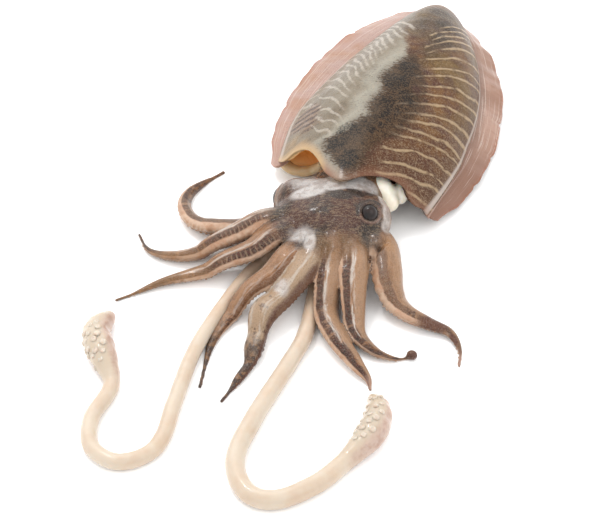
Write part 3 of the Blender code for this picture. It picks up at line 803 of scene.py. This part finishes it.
arms = {
    "heightShare": 0.46, "undersideShare": 0.32, "tipWidth": 1.8, "floorGap": 0.15, "steps": 10,
    "dish": 0.09, "flare": 0.05, "profilePoints": 40,
    "crinkleLength": 2.7, "crinkleHeight": 0.035,
    # route of the middle, width at the base, fullness, roll
    "each": {
        "A": (((0, -4, 12), (-18, -4, 11), (-33, -1, 7), (-45, 2, 5), (-53, 7, 0), (-57, 17, 0), (-55, 27, 0),
               (-48, 36, 0), (-39, 44, 0)), 11.8, 2.4, 0.9),
        "B": (((0, -5, 14), (-18, -5, 15), (-30, -8, 11), (-43, -12, 7), (-54, -15, 0), (-64, -14, 0),
               (-72, -9, 0), (-77, 2, 0)), 15.5, 1.6, 0.85),
        "C": (((0, -9, 14), (-13, -14, 16), (-25, -21, 12), (-38, -24, 8), (-51, -27, 0), (-64, -30, 0),
               (-75, -35, 0), (-85, -40, 0)), 16, 1.4, 0.75),
        "D": (((4, -13, 14), (-7, -27, 17), (-16, -36, 13), (-27, -43, 9), (-36, -54, 0), (-42, -67, 0),
               (-46, -91, 0)), 15.5, 1, 0.2),
        "E": (((6, -12, 14), (3, -24, 18), (-3, -36, 15), (-12, -46, 9), (-20, -56, 8), (-23, -68, 0),
               (-25, -78, 0), (-31, -89, 0), (-37, -99, 0)), 14.5, 2.1, 0.3),
        "F": (((10, -14, 14), (11, -26, 18), (9, -35, 14), (8, -44, 10), (8, -56, 0), (13, -69, 0),
               (20, -80, 0), (25, -87, 0), (26, -92.5, 0)), 12, 6.5, -0.85),
        "G": (((15, -14, 14), (20, -30, 16), (19.5, -41, 13), (19.5, -52, 8), (21, -64, 0), (28, -72, 0),
               (36, -75, 0), (44, -74, 0)), 14.2, 2.4, -0.85),
        "H": (((20, -8, 12), (31, -17, 12), (34, -30, 11), (35.5, -42, 8), (41.5, -51, 0), (52, -57, 0),
               (61, -61, 0), (65, -70, 0), (64, -79, 0)), 19, 1.4, -0.8),
    },
    # swellings: share of the length, amount, spread
    "swells": {
        "E": ((0.5, 0.16, 0.05), (0.6, -0.1, 0.03), (0.7, 0.16, 0.035), (0.79, -0.15, 0.03),
              (0.87, 0.12, 0.03)),
    },
    # pale, dark band, dark tip; beige ridge, cross ticks, painted white sheen; how far the pale sucker side
    # shows
    "looks": {
        "A": (0.45, 0.7, 0.3, 0.6, 0.2, 0.3, 0.55), "B": (0.15, 0.9, 0.7, 0.2, 0.7, 0.9, 0.3),
        "C": (0.15, 1, 1, 0.1, 0.8, 0.7, 0.1), "D": (0.05, 0.4, 1, 0.5, 0, 0.5, 0.25),
        "E": (1, 0.1, 1, 0.2, 0, 0.7, 0.3), "F": (0.2, 1, 0, 1, 0.4, 1, 0.1),
        "G": (0.2, 1, 0.4, 1, 0.4, 1, 0.1), "H": (0.3, 0.6, 0.6, 0.5, 0.3, 0, 0.35),
    },
}


def roundedRoute(route, steps):
    # The route on a Catmull-Rom curve, with this many points for each stretch.
    ends = np.array(route, float)
    ends = np.vstack([2 * ends[0] - ends[1], ends, 2 * ends[-1] - ends[-2]])
    points = []
    for before, start, end, after in zip(ends, ends[1:], ends[2:], ends[3:]):
        for t in np.arange(steps) / steps:
            square, cube = 2 * before - 5 * start + 4 * end - after, 3 * start - before - 3 * end + after
            points.append(0.5 * (2 * start + (end - before) * t + square * t**2 + cube * t**3))
    points.append(ends[-2])
    return np.array(points)


def limbLine(route, steps, widthAt, lowestShare):
    # Centres, shares of the length, widths, directions and whole length of one limb.
    centres = roundedRoute(route, steps)
    reached = np.concatenate([[0], np.cumsum(np.linalg.norm(np.diff(centres, axis=0), axis=1))])
    shares = reached / reached[-1]
    widths = widthAt(shares)
    centres[:, 2] = np.maximum(centres[:, 2], lowestShare * widths + arms["floorGap"])
    ahead = np.gradient(centres, axis=0)
    ahead /= np.linalg.norm(ahead, axis=1)[:, None]
    return {"centres": centres, "shares": shares, "widths": widths, "ahead": ahead, "length": reached[-1]}


def armWidths(letter, shares):
    width, fullness = arms["each"][letter][1:3]
    widths = np.maximum(arms["tipWidth"], width * (1 - shares**fullness))
    for at, amount, spread in arms["swells"].get(letter, ()):
        widths = widths * (1 + amount * hump(shares, at, spread))
    return widths


def armLine(letter):
    route, _, _, roll = arms["each"][letter]
    lowest = arms["undersideShare"] + 0.12 * abs(roll)
    line = limbLine(route, arms["steps"], lambda shares: armWidths(letter, shares), lowest)
    right = np.cross(line["ahead"], (0, 0, 1))
    right /= np.linalg.norm(right, axis=1)[:, None]
    up = np.cross(right, line["ahead"])
    line["mouthward"] = -up * math.cos(roll) - right * math.sin(roll)
    line["sideward"] = right * math.cos(roll) - up * math.sin(roll)
    line["roll"] = roll
    line["looks"] = arms["looks"][letter]
    return line


def makeOutline(name, points):
    bpy.ops.curve.primitive_bezier_circle_add(radius=1)
    outline = bpy.context.object
    outline.name = name
    outline.data.dimensions = "2D"
    outline.data.splines.clear()
    spline = outline.data.splines.new("POLY")
    spline.points.add(len(points) - 1)
    spline.use_cyclic_u = True
    for point, (x, y) in zip(spline.points, points):
        point.co = (x, y, 0, 1)
    return outline


def armOutline():
    # Rounded back, and a sucker side that is dished between two soft rims.
    points = []
    for index in range(arms["profilePoints"]):
        angle = math.tau * index / arms["profilePoints"]
        side, up = math.cos(angle), math.sin(angle)
        if up > 0:
            points.append((0.5 * side, arms["heightShare"] * up**0.95))
            continue
        dish = arms["dish"] * math.exp(-((side / 0.55) ** 2))
        flare = 1 + arms["flare"] * math.sin(min(1, -up * 1.6) * math.pi)
        points.append((0.5 * side * flare, -arms["undersideShare"] * abs(up) ** 0.6 + dish))
    return points


def sweep(name, line, outline, roll=0):
    bpy.ops.curve.primitive_bezier_curve_add()
    limb = bpy.context.object
    limb.name = name
    path = limb.data
    path.dimensions = "3D"
    path.twist_mode = "Z_UP"
    path.bevel_mode = "OBJECT"
    path.bevel_object = outline
    path.use_fill_caps = True
    path.splines.clear()
    spline = path.splines.new("POLY")
    spline.points.add(len(line["shares"]) - 1)
    for point, centre, width in zip(spline.points, line["centres"] * mm + shift, line["widths"]):
        point.co = (*centre, 1)
        point.radius = width * mm
        point.tilt = roll
    pick(limb)
    bpy.ops.object.convert(target="MESH")
    limb = bpy.context.object
    closeUp(limb, 0.00001)
    return limb


def makeMass(name, centre, radii):
    mass, ball = makeBall(name, *head["massSteps"])
    writePoints(mass, turnFlat(ball * radii, heading) + centre)
    return mass


def closestOf(points, centres):
    # For every point the number of the closest centre.
    squares = (points**2).sum(axis=1)[:, None]
    return (squares - 2 * points @ centres.T + (centres**2).sum(axis=1)[None, :]).argmin(axis=1)


def nearestArm(points, lines):
    # For every point the arm whose skin it is on, and its place on that arm.
    names = ("length", "share", "mouthward", "sideward", "width", "arm")
    best = {name: np.zeros(len(points)) for name in names}
    looks = np.zeros((len(points), 7))
    closest = np.full(len(points), np.inf)
    for number, line in enumerate(lines):
        centres = line["centres"]
        index = closestOf(points, centres)
        offset = points - centres[index]
        ahead = line["ahead"][index]
        onward = (offset * ahead).sum(axis=1)
        offset = offset - ahead * onward[:, None]
        away = np.linalg.norm(offset, axis=1)
        width = line["widths"][index]
        nearness = np.hypot(away, np.where((index == 0) | (index == len(centres) - 1), onward, 0)) / width
        better = nearness < closest
        closest = np.where(better, nearness, closest)
        unit = offset / np.maximum(away, 0.001)[:, None]
        length = line["shares"][index] * line["length"] + onward
        found = {
            "length": length, "share": length / line["length"], "width": width,
            "mouthward": (unit * line["mouthward"][index]).sum(axis=1),
            "sideward": (unit * line["sideward"][index]).sum(axis=1),
            "arm": np.full(len(points), float(number)),
        }
        for name, values in found.items():
            best[name] = np.where(better, values, best[name])
        looks = np.where(better[:, None], np.array(line["looks"])[None, :], looks)
    return best, looks


def makeHeadSkin():
    skin = Recipe("headSkin")
    limbMap = skin.vector("limbMap")
    length, _, arm = skin.parts("limbMap")
    pale, band, tip = skin.parts("armLooks")
    ridge, ticks, sheen = skin.parts("armMarksAndSheen")
    mouthward, share, headShare = skin.parts("armPlace")
    paleAndGlareTouch, darkAndShadeTouch, warmTouch = skin.parts("headPaint")
    umber, pink, lid = skin.parts("edgePaint")
    wide = skin.noise(60)
    medium = skin.noise(240, 4, 0.6)
    fine = skin.noise(1000, 3, 0.65)
    streaks = skin.streaks(limbMap, (0.12, 0.55, 1), 4, 0.6)
    onArm = skin.between(skin.plus(headShare, skin.shifted(medium, 0.6)), 0.95, 0.35)
    # brown head covered in short light dashes
    prints = skin.streaks(skin.place, (480, 1500, 1000), 3, 0.6, 0.7)
    skin.colour = skin.tones(wide, 0.38, 0.62, (102, 76, 59), (70, 53, 42))
    skin.paint((170, 146, 122), skin.between(prints, 0.5, 0.6, 0, 0.5))
    # brown backs of the arms, cream on the pale ones
    back = skin.tones(streaks, 0.4, 0.62, (150, 106, 78), (184, 138, 106))
    skin.paint(skin.mix(skin.between(wide, 0.45, 0.65, 0, 0.5), back, (176, 138, 114)), onArm)
    skin.paint((204, 178, 150), 0.85, pale, onArm, skin.between(share, 0.86, 0.66))
    # painted patches over the head: pale ones, partly its own pale skin and partly painted highlight
    paleAndGlareSkin = skin.tones(medium, 0.42, 0.6, (238, 232, 228), (200, 190, 184))
    skin.paint(paleAndGlareSkin, 0.88, skin.between(skin.plus(paleAndGlareTouch, skin.shifted(medium, 0.7)), 0.12, 0.6))
    # dark patches, partly its own colour and partly painted shade, with the painted shade round the eyes
    darkerAndShade = skin.plus(darkAndShadeTouch, skin.shifted(medium, 0.9), skin.shifted(fine, 0.6))
    skin.paint((80, 73, 70), 0.82, skin.between(darkerAndShade, 0.3, 0.75))
    # dark blots along the arms, thicker towards the tips
    blots = skin.shifted(skin.streaks(limbMap, (0.28, 0.24, 3.1), 3, 0.6, 0.6), 2.4)
    thicker = skin.times(skin.calc("MAXIMUM", band, tip), skin.between(share, 0.3, 0.8, 0, 0.62))
    blots = skin.plus(blots, thicker, skin.shifted(fine, 0.5))
    skin.paint((92, 60, 44), 0.75, skin.between(blots, 0.42, 0.62), onArm)
    # across each arm: beige ridge, dark band, cross ticks, a painted white sheen of wet skin, then the pale
    # sucker side
    face = skin.plus(mouthward, skin.shifted(medium, 0.3))
    skin.paint((198, 160, 130), 0.8, skin.between(face, -0.5, -0.66), ridge, onArm)
    gaps = skin.between(skin.noise(0.28, 1, at=skin.add("CombineXYZ", {0: length, 1: arm})), 0.52, 0.62)
    gaps = skin.times(gaps, skin.between(share, 0.3, 0.7, 0.05, 0.8))
    bandShare = skin.stretch(face, -0.44, -0.32, 0.1, 0.24)
    bandColour = skin.tones(fine, 0.4, 0.6, (80, 54, 42), (108, 76, 60))
    skin.paint(bandColour, 0.9, bandShare, skin.calc("SUBTRACT", 1, gaps), band, onArm)
    tickWave = skin.calc("SINE", skin.plus(skin.times(length, 2.9), skin.shifted(medium, 7)))
    tickFace = skin.stretch(face, -0.4, -0.1, 0.1, 0.3)
    tickPlace = skin.stretch(share, 0.1, 0.16, 0.4, 0.5)
    skin.paint((190, 158, 130), 0.6, skin.between(tickWave, 0.35, 0.8), tickPlace, tickFace, ticks, onArm)
    # painted highlight: white glare stripes along the upper side of each arm
    glare = skin.stretch(face, -0.68, -0.56, -0.46, -0.34)
    glarePatches = skin.between(skin.streaks(limbMap, (0.1, 0.7, 1), 2), 0.4, 0.56)
    skin.paint((240, 230, 220), 0.75, glare, glarePatches, sheen, onArm, skin.between(share, 0.8, 0.65))
    oral = skin.tones(medium, 0.4, 0.65, (236, 202, 176), (216, 172, 142))
    skin.paint(oral, skin.between(face, 0.1, 0.26), onArm, skin.calc("SUBTRACT", 1, umber))
    mottle = skin.tones(skin.noise(420), 0.48, 0.6, (84, 60, 48), (150, 116, 90))
    skin.paint(mottle, 0.85, tip, skin.between(skin.plus(share, skin.shifted(medium, 0.3)), 0.6, 0.8))
    # warm thin skin low between the arm bases, brown undersides with painted shade on the pale arm's sides,
    # and pink edges
    skin.paint((190, 146, 106), 0.7, warmTouch)
    skin.paint((116, 84, 68), 0.8, skin.between(skin.plus(umber, skin.shifted(medium, 0.6)), 0.3, 0.8))
    skin.paint((206, 168, 152), 0.75, pink)
    skin.paint((190, 150, 138), 0.45, lid)
    # pigment dots and pale grain
    skin.paint((74, 60, 54), 0.45, skin.dots(1500), skin.between(face, 0.3, 0.05))
    skin.paint((220, 204, 188), skin.between(skin.noise(2300, 2), 0.42, 0.72, 0, 0.24))
    wrinkles = skin.streaks(skin.place, (130, 620, 300), 3, 0.6, 0.6)
    wrinkles = skin.times(wrinkles, skin.between(headShare, 0.05, 0.7))
    wrinkled = skin.bump(wrinkles, 0.8, 0.6, skin.bump(streaks, 0.6, 0.45))
    relief = skin.bump(skin.noise(1200, 4, 0.7), 0.13, 0.8, wrinkled)
    roughness = skin.between(fine, 0.3, 0.7, 0.26, 0.44)
    return skin.finish(roughness, relief, (0.1, 0.0025, (1, 0.5, 0.3)), (0.22, 0.12, 0.14))


def foldSkin(points, normals):
    # Raised ridges and pressed-in grooves along the listed lines.
    for start, end, height, width in head["folds"]:
        start, end = np.array(start), np.array(end)
        offset = points[:, :2] - start
        share = np.clip(offset @ (end - start) / ((end - start) @ (end - start)), 0, 1)
        away = np.linalg.norm(offset - share[:, None] * (end - start), axis=1)
        onTop = ease(normals[:, 2], 0, 0.5) * ease(points[:, 2], 5, 9)
        points = points + normals * (height * hump(away, 0, width) * onTop)[:, None]
    return points


def dressHead(lines):
    outline = makeOutline("armOutline", armOutline())
    shapes = [makeMass("headMass", *mass) for mass in head["masses"]]
    shapes += [sweep("arm" + letter, line, outline, line["roll"]) for letter, line in lines.items()]
    skin = fuse("headAndArms", shapes, head["fuseStep"], head["smoothing"])
    bpy.data.objects.remove(outline)
    points, normals = readSkin(skin)
    on, looks = nearestArm(points, list(lines.values()))
    apart = (points[:, :2] - np.array(head["middle"])) / np.array(head["radii"])
    headShare = ease(np.linalg.norm(apart, axis=1), *head["edge"])
    # a soft raised lid round each eye, pink at its lower right, with painted shade at its upper left
    lid, shadeHalo = np.zeros(len(points)), np.zeros(len(points))
    for eye in eyes["each"].values():
        offset = turnFlat(points - np.array(eye["centre"]), -heading) / np.array(eye["radii"])
        away = np.linalg.norm(offset, axis=1)
        ring = hump(away, *eyes["lid"])
        lowerRight = ease(offset @ np.array((0.75, -0.6, -0.1)), -0.5, 0.3)
        lid = np.maximum(lid, ring * (0.25 + 0.75 * lowerRight))
        shadeHalo = np.maximum(shadeHalo, hump(away, *eyes["shadeHalo"]) * (1 - lowerRight))
        points += normals * (eyes["lidRise"] * ring)[:, None]
    points = foldSkin(points, normals)
    # crinkled rims, and folds that run along the arms
    rim = hump(on["mouthward"], 0.35, 0.3) * ease(on["share"], 0.15, 0.4) * (1 - headShare)
    phase = on["length"] * math.tau / arms["crinkleLength"]
    crinkle = np.sin(phase + 3 * np.sin(on["length"] / 4.3 + on["arm"])) - 0.2
    patchy = 0.5 + 0.5 * np.sin(on["length"] / 6.1 + 2 * on["arm"])
    depth = arms["crinkleHeight"] * np.minimum(on["width"], 9)
    points += normals * (depth * rim * patchy * crinkle)[:, None]
    aroundArm = np.arctan2(on["sideward"], -on["mouthward"])
    fold = cloud(np.column_stack((on["length"] / 26, aroundArm * 1.5, on["arm"] * 7.3)), 1)
    foldShare = (0.35 + 0.65 * (1 - headShare)) * ease(on["width"], 2, 8)
    points += normals * (head["foldHeight"] * fold * foldShare)[:, None]
    lumps = head["lumpHeight"] * cloud(points, head["lumpSize"], 3)
    points += normals * (lumps * headShare)[:, None]
    layDown(skin, points)
    store(skin, "limbMap", on["length"], aroundArm * on["width"] / 2, on["arm"] * 11)
    store(skin, "armLooks", *looks.T[:3])
    store(skin, "armMarksAndSheen", *looks.T[3:6])
    store(skin, "armPlace", on["mouthward"] + looks[:, 6], on["share"], headShare)
    low = ease(points[:, 2], 13, 5) * ease(points[:, 1], -8, -16) * ease(points[:, 1], -48, -36)
    warm = np.maximum(touch(points, head["warm"]), 0.7 * low * (1 - 0.6 * ease(on["mouthward"], 0, 0.4)))
    dark = np.maximum(touch(points, head["dark"]), 1.1 * shadeHalo)
    store(skin, "headPaint", touch(points, head["pale"]), dark, warm)
    # painted shade: the pale arm is darkened brown underneath and a little on its left, to round it
    onPaleArm = on["arm"] == list(lines).index("E")
    shadeUnder = 0.8 * ease(on["sideward"], -0.7, -1) * ease(on["share"], 0.16, 0.24)
    shadeBeside = 0.45 * ease(on["sideward"], 0.4, 0.95)
    umber = np.maximum(touch(points, head["umber"]), onPaleArm * np.maximum(shadeUnder, shadeBeside))
    store(skin, "edgePaint", umber, touch(points, head["pink"]), lid)
    finishPiece(skin, makeHeadSkin())


# The eyes: dark glassy balls in raised lids
eyes = {
    "each": {
        "eyeLeft": {"node": "eye_left", "centre": (27, -9, 23.2), "radii": (4.2, 4.6, 5.6)},
        "eyeRight": {"node": "eye_right", "centre": (-11.9, 12.6, 13.8), "radii": (4, 5, 5.6)},
    },
    "steps": (48, 32), "lid": (1.16, 0.09), "lidRise": 0.8, "shadeHalo": (1.3, 0.3),
}


def makeEyeGloss():
    gloss = Recipe("eyeGloss")
    gloss.colour = gloss.tones(gloss.noise(320), 0.35, 0.7, (44, 36, 37), (84, 68, 62))
    return gloss.finish(0.3, None, (0, 0.001, (1, 1, 1)), (0.4, 0.03, 0.1))


def makeEye(name, eye, gloss):
    ball, rows = makeBall(name, *eyes["steps"])
    writePoints(ball, turnFlat(rows * eye["radii"], heading) + eye["centre"])
    finishPiece(ball, gloss, (eye["node"],))


armLines = {letter: armLine(letter) for letter in arms["each"]}
dressHead(armLines)
print("head and arms ready")
eyeGloss = makeEyeGloss()
for name, eye in eyes["each"].items():
    makeEye(name, eye, eyeGloss)
print("eyes ready")

# Small suckers in rows on the arms, and larger ones on the tentacle clubs
suckers = {
    "spacing": 2.5, "rows": (-0.33, -0.12, 0.12, 0.33), "sizeShare": 0.062, "smallest": 0.4, "largest": 0.95,
    "firstShare": 0.3, "reach": 0.66, "lastShare": 0.975, "twoRowWidth": 5, "armTurns": 8, "clubTurns": 16,
    # rings of a cup: radius, height; the first is the middle of its foot
    "armCup": ((0, -0.6), (0.55, -0.6), (0.7, 0), (1, 0.35), (0.85, 0.6), (0.45, 0.45), (0.3, 0.1)),
    "clubCup": ((0, -0.9), (0.7, -0.9), (0.95, -0.3), (1.05, 0.1), (0.9, 0.42), (0.6, 0.56), (0.35, 0.5),
                (0.15, 0.42)),
}


def cupShape(turns, profile):
    # Points and faces of a small cup on a stalk, one unit in radius, opening along +z.
    points = [(0, 0, profile[0][1])]
    for radius, height in profile[1:]:
        for index in range(turns):
            angle = math.tau * index / turns
            points.append((radius * math.cos(angle), radius * math.sin(angle), height))
    faces = [(0, 1 + (index + 1) % turns, 1 + index) for index in range(turns)]
    for ring in range(len(profile) - 2):
        start = 1 + ring * turns
        for index in range(turns):
            after = (index + 1) % turns
            faces.append((start + index, start + after, start + turns + after, start + turns + index))
    last = 1 + (len(profile) - 2) * turns
    faces.append(tuple(last + index for index in range(turns)))
    return np.array(points), faces


def scatterCups(name, cup, places):
    # One mesh with a cup at each place: centre, outward direction and radius.
    points, faces = cup
    allPoints, allFaces = [], []
    for centre, out, radius in places:
        out = np.array(out) / np.linalg.norm(out)
        side = np.cross(out, (0.3, 0.2, 0.93))
        side /= np.linalg.norm(side)
        other = np.cross(out, side)
        start = len(allPoints) * len(points)
        allPoints.append(np.array(centre) + radius * (points @ np.stack([side, other, out])))
        allFaces += [tuple(start + index for index in face) for face in faces]
    allPoints = np.vstack(allPoints) * mm + shift
    mesh = bpy.data.meshes.new(name)
    mesh.from_pydata(allPoints.tolist(), [], allFaces)
    made = bpy.data.objects.new(name, mesh)
    bpy.context.scene.collection.objects.link(made)
    closeUp(made, 0.0000001)
    return made


def makeCupFlesh(name, light, deep):
    glow, wet = (0.3, 0.003, (1, 0.6, 0.4)), (0.3, 0.15, 0.5)
    return makeFlesh(name, 500, light, deep, (1500, 2, 0.08, 0.6), 0.34, glow, wet)


def makeArmSuckers(lines):
    places = []
    for line in lines.values():
        for count in range(int(line["length"] * suckers["reach"] / suckers["spacing"])):
            length = line["length"] * suckers["firstShare"] + count * suckers["spacing"]
            share = length / line["length"]
            if share > suckers["lastShare"]:
                break
            index = int(np.argmin(np.abs(line["shares"] - share)))
            width = line["widths"][index]
            radius = min(suckers["largest"], max(suckers["smallest"], suckers["sizeShare"] * width))
            for row, offset in enumerate(suckers["rows"]):
                if width < suckers["twoRowWidth"] and abs(offset) < 0.2:
                    continue
                halfStep = suckers["spacing"] * 0.5 * (row % 2)
                onward = halfStep + length - line["shares"][index] * line["length"]
                deep = arms["undersideShare"] * (1 - (2 * abs(offset)) ** 2) ** 0.3 - 0.75 * arms["dish"]
                aside = (line["sideward"][index] * offset + line["mouthward"][index] * deep) * width
                centre = line["centres"][index] + line["ahead"][index] * onward + aside
                if centre[2] - radius > 0.5:
                    places.append((centre, line["mouthward"][index], radius))
    cups = scatterCups("armSuckers", cupShape(suckers["armTurns"], suckers["armCup"]), places)
    finishPiece(cups, makeCupFlesh("suckerFlesh", (226, 192, 166), (204, 164, 138)))
    print(len(places), "arm suckers")


makeArmSuckers(armLines)

# The soft lip round the water hole, a thick roll that closes it underneath
waterHole = {
    "route": ((6.2, 37.5, 12), (4.8, 39.8, 7.6), (1.8, 41, 4.8), (-3.2, 41.6, 3.6), (-7.6, 42.8, 4),
              (-11, 45.4, 5.8), (-13, 49.5, 8.5)),
    "widths": ((0, 3), (0.2, 4.6), (0.5, 5.4), (0.8, 5.6), (1, 3)),
    "steps": 12, "fuseStep": 0.4, "smoothing": 10,
}
limbRound = 32  # points round the lip and the tentacles


def roundOutline(name):
    turns = np.arange(limbRound) * math.tau / limbRound
    return makeOutline(name, [(0.5 * math.cos(turn), 0.5 * math.sin(turn)) for turn in turns])


def dressLip():
    outline = roundOutline("lipOutline")
    route, steps, widths = (waterHole[name] for name in ("route", "steps", "widths"))
    line = limbLine(route, steps, lambda shares: easedTable(widths, shares), 0.5)
    shape = sweep("waterHoleLip", line, outline)
    roll = fuse("waterHoleLip", [shape], waterHole["fuseStep"], waterHole["smoothing"])
    bpy.data.objects.remove(outline)
    points, normals = readSkin(roll)
    points += normals * (0.35 * cloud(points, 6, 1))[:, None]
    layDown(roll, points)
    glow, wet = (0.3, 0.004, (1, 0.65, 0.4)), (0.25, 0.12, 0.3)
    # painted light: colours past white lift the lip, which sits in the shade of the mantle's opening
    light, deep = (262, 238, 196), (252, 214, 162)
    finishPiece(roll, makeFlesh("lipFlesh", 160, light, deep, (500, 3, 0.15, 0.5), 0.3, glow, wet))


dressLip()
print("lip ready")

# The two long feeding tentacles with their clubs
tentacles = {
    "clubStart": 0.83, "clubTip": 4.5, "steps": 12,
    "each": {
        "tentacleRight": {
            "route": ((-4, -4, 9), (-16, -14, 6), (-28, -28, 0), (-47, -67, 0), (-56, -101, 0),
                      (-60, -120, 0), (-67, -130, 0), (-79, -133, 0), (-89, -125, 0), (-90, -110, 0),
                      (-83, -92, 0), (-88, -75, 0), (-91, -63, 0), (-86, -51, 0)),
            "widths": (5.8, 7), "clubWidth": 12.6, "suckerSide": (-0.75, -0.15, 0.65),
        },
        "tentacleLeft": {
            "route": ((4, -10, 9), (4, -28, 6), (-1, -61, 0), (-8, -79, 0), (-23, -111, 0), (-30, -133, 0),
                      (-25, -149, 0), (-13, -153, 0), (3, -145, 0), (16, -132, 0), (26, -120, 0),
                      (29, -107, 0), (27, -99, 0)),
            "widths": (6.3, 8.2), "clubWidth": 12.4, "suckerSide": (-0.55, 0.45, 0.7),
        },
    },
    "cupShares": np.linspace(0.868, 0.968, 6), "cupRows": (-0.8, -0.22, 0.35, 0.9),
    "setBackRows": (-0.22, 0.9), "fuseStep": 0.5, "smoothing": 6,
}


def tentacleWidths(tentacle, shares):
    thin, thick = tentacle["widths"]
    width = thin + (thick - thin) * np.minimum(1, shares * 2)
    club = np.clip((shares - tentacles["clubStart"]) / (1 - tentacles["clubStart"]), 0, 1)
    swelling = width + (tentacle["clubWidth"] - width) * np.sin(np.minimum(club, 0.5) * math.pi) ** 1.5
    tapering = np.maximum(np.cos((club - 0.5) * math.pi), 0) ** 0.6
    tip = tentacles["clubTip"] + (tentacle["clubWidth"] - tentacles["clubTip"]) * tapering
    return np.where(club < 0.5, swelling, tip)


def makeTentacleFlesh():
    flesh = Recipe("tentacleFlesh")
    share, suckerSide, _ = flesh.parts("tentacleMap")
    mottle = flesh.noise(350)
    flesh.colour = flesh.tones(flesh.noise(70), 0.35, 0.7, (248, 232, 212), (240, 216, 192))
    flesh.paint((238, 206, 180), flesh.between(share, 0.34, 0.05, 0, 0.75))
    club = flesh.tones(mottle, 0.35, 0.7, (232, 206, 190), (214, 182, 166))
    club = flesh.tones(suckerSide, 0, 0.6, club, (238, 220, 198))
    flesh.paint(club, flesh.between(share, 0.8, 0.88))
    relief = flesh.bump(mottle, 0.3, 0.35)
    return flesh.finish(0.34, relief, (0.4, 0.005, (1, 0.7, 0.45)), (0.35, 0.1, 0.2))


def makeTentacle(name, tentacle, outline, flesh):
    route, steps = tentacle["route"], tentacles["steps"]
    line = limbLine(route, steps, lambda shares: tentacleWidths(tentacle, shares), 0.5)
    limb = fuse(name, [sweep(name, line, outline)], tentacles["fuseStep"], tentacles["smoothing"])
    points, normals = readSkin(limb)
    index = closestOf(points, line["centres"])
    share = line["shares"][index]
    facing = np.array(tentacle["suckerSide"]) / np.linalg.norm(tentacle["suckerSide"])
    offset = points - line["centres"][index]
    toward = (offset @ facing) / (line["widths"][index] / 2)
    onClub = ease(share, 0.82, 0.9)
    points += normals * (0.5 * cloud(points, 4) * onClub + 0.12 * cloud(points, 7))[:, None]
    layDown(limb, points)
    store(limb, "tentacleMap", share, toward, share)
    finishPiece(limb, flesh)
    places = []
    for number, cupShare in enumerate(tentacles["cupShares"]):
        for row in tentacles["cupRows"]:
            stray = math.sin(7 * number + 11 * row + 5 * cupShare)
            shareHere = cupShare + (0.008 if row in tentacles["setBackRows"] else 0) + 0.004 * stray
            index = int(np.argmin(np.abs(line["shares"] - shareHere)))
            across = np.cross(line["ahead"][index], facing)
            across /= np.linalg.norm(across)
            turn = row + 0.12 * math.cos(9 * number + 4 * row)
            out = facing * math.cos(turn) + across * math.sin(turn)
            half = line["widths"][index] / 2
            radius = (0.9 + 0.9 * math.sin(math.pi * (number + 0.7) / 6.5)) * (0.9 + 0.2 * stray)
            places.append((line["centres"][index] + out * (half - 0.05 * radius), out, radius))
    return places


def dressTentacles():
    outline = roundOutline("tentacleOutline")
    flesh = makeTentacleFlesh()
    places = []
    for name, tentacle in tentacles["each"].items():
        places += makeTentacle(name, tentacle, outline, flesh)
    bpy.data.objects.remove(outline)
    cup = cupShape(suckers["clubTurns"], suckers["clubCup"])
    cups = scatterCups("clubSuckers", cup, places)
    cups.modifiers.new("round", "SUBSURF").levels = 1
    applyAll(cups)
    finishPiece(cups, makeCupFlesh("clubSuckerFlesh", (246, 234, 216), (232, 210, 190)))


dressTentacles()
print("tentacles ready")

# The creamy notched lobe beside the neck
lobe = {
    "masses": (((32, 14.5, 18), (7, 5.2, 6.5)), ((36.5, 14, 14.5), (5, 4.8, 6)),
               ((42, 16, 13.6), (4.2, 4.8, 5.8)), ((35.5, 11.5, 13), (6.2, 4.6, 6))),
    "fuseStep": 0.45, "smoothing": 8,
}


def dressLobe():
    masses = [makeMass("lobeMass", *mass) for mass in lobe["masses"]]
    collar = fuse("collarLobe", masses, lobe["fuseStep"], lobe["smoothing"])
    glow, wet = (0.35, 0.004, (1, 0.7, 0.45)), (0.3, 0.15, 0.5)
    # painted light: colours past white lift the lobe, which sits in shade under the mantle's edge
    light, deep = (325, 318, 298), (305, 294, 268)
    finishPiece(collar, makeFlesh("lobeFlesh", 120, light, deep, (500, 3, 0.15, 0.5), 0.3, glow, wet))


dressLobe()
print("lobe ready")

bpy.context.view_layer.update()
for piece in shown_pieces():
    print(piece.name, len(piece.data.polygons))
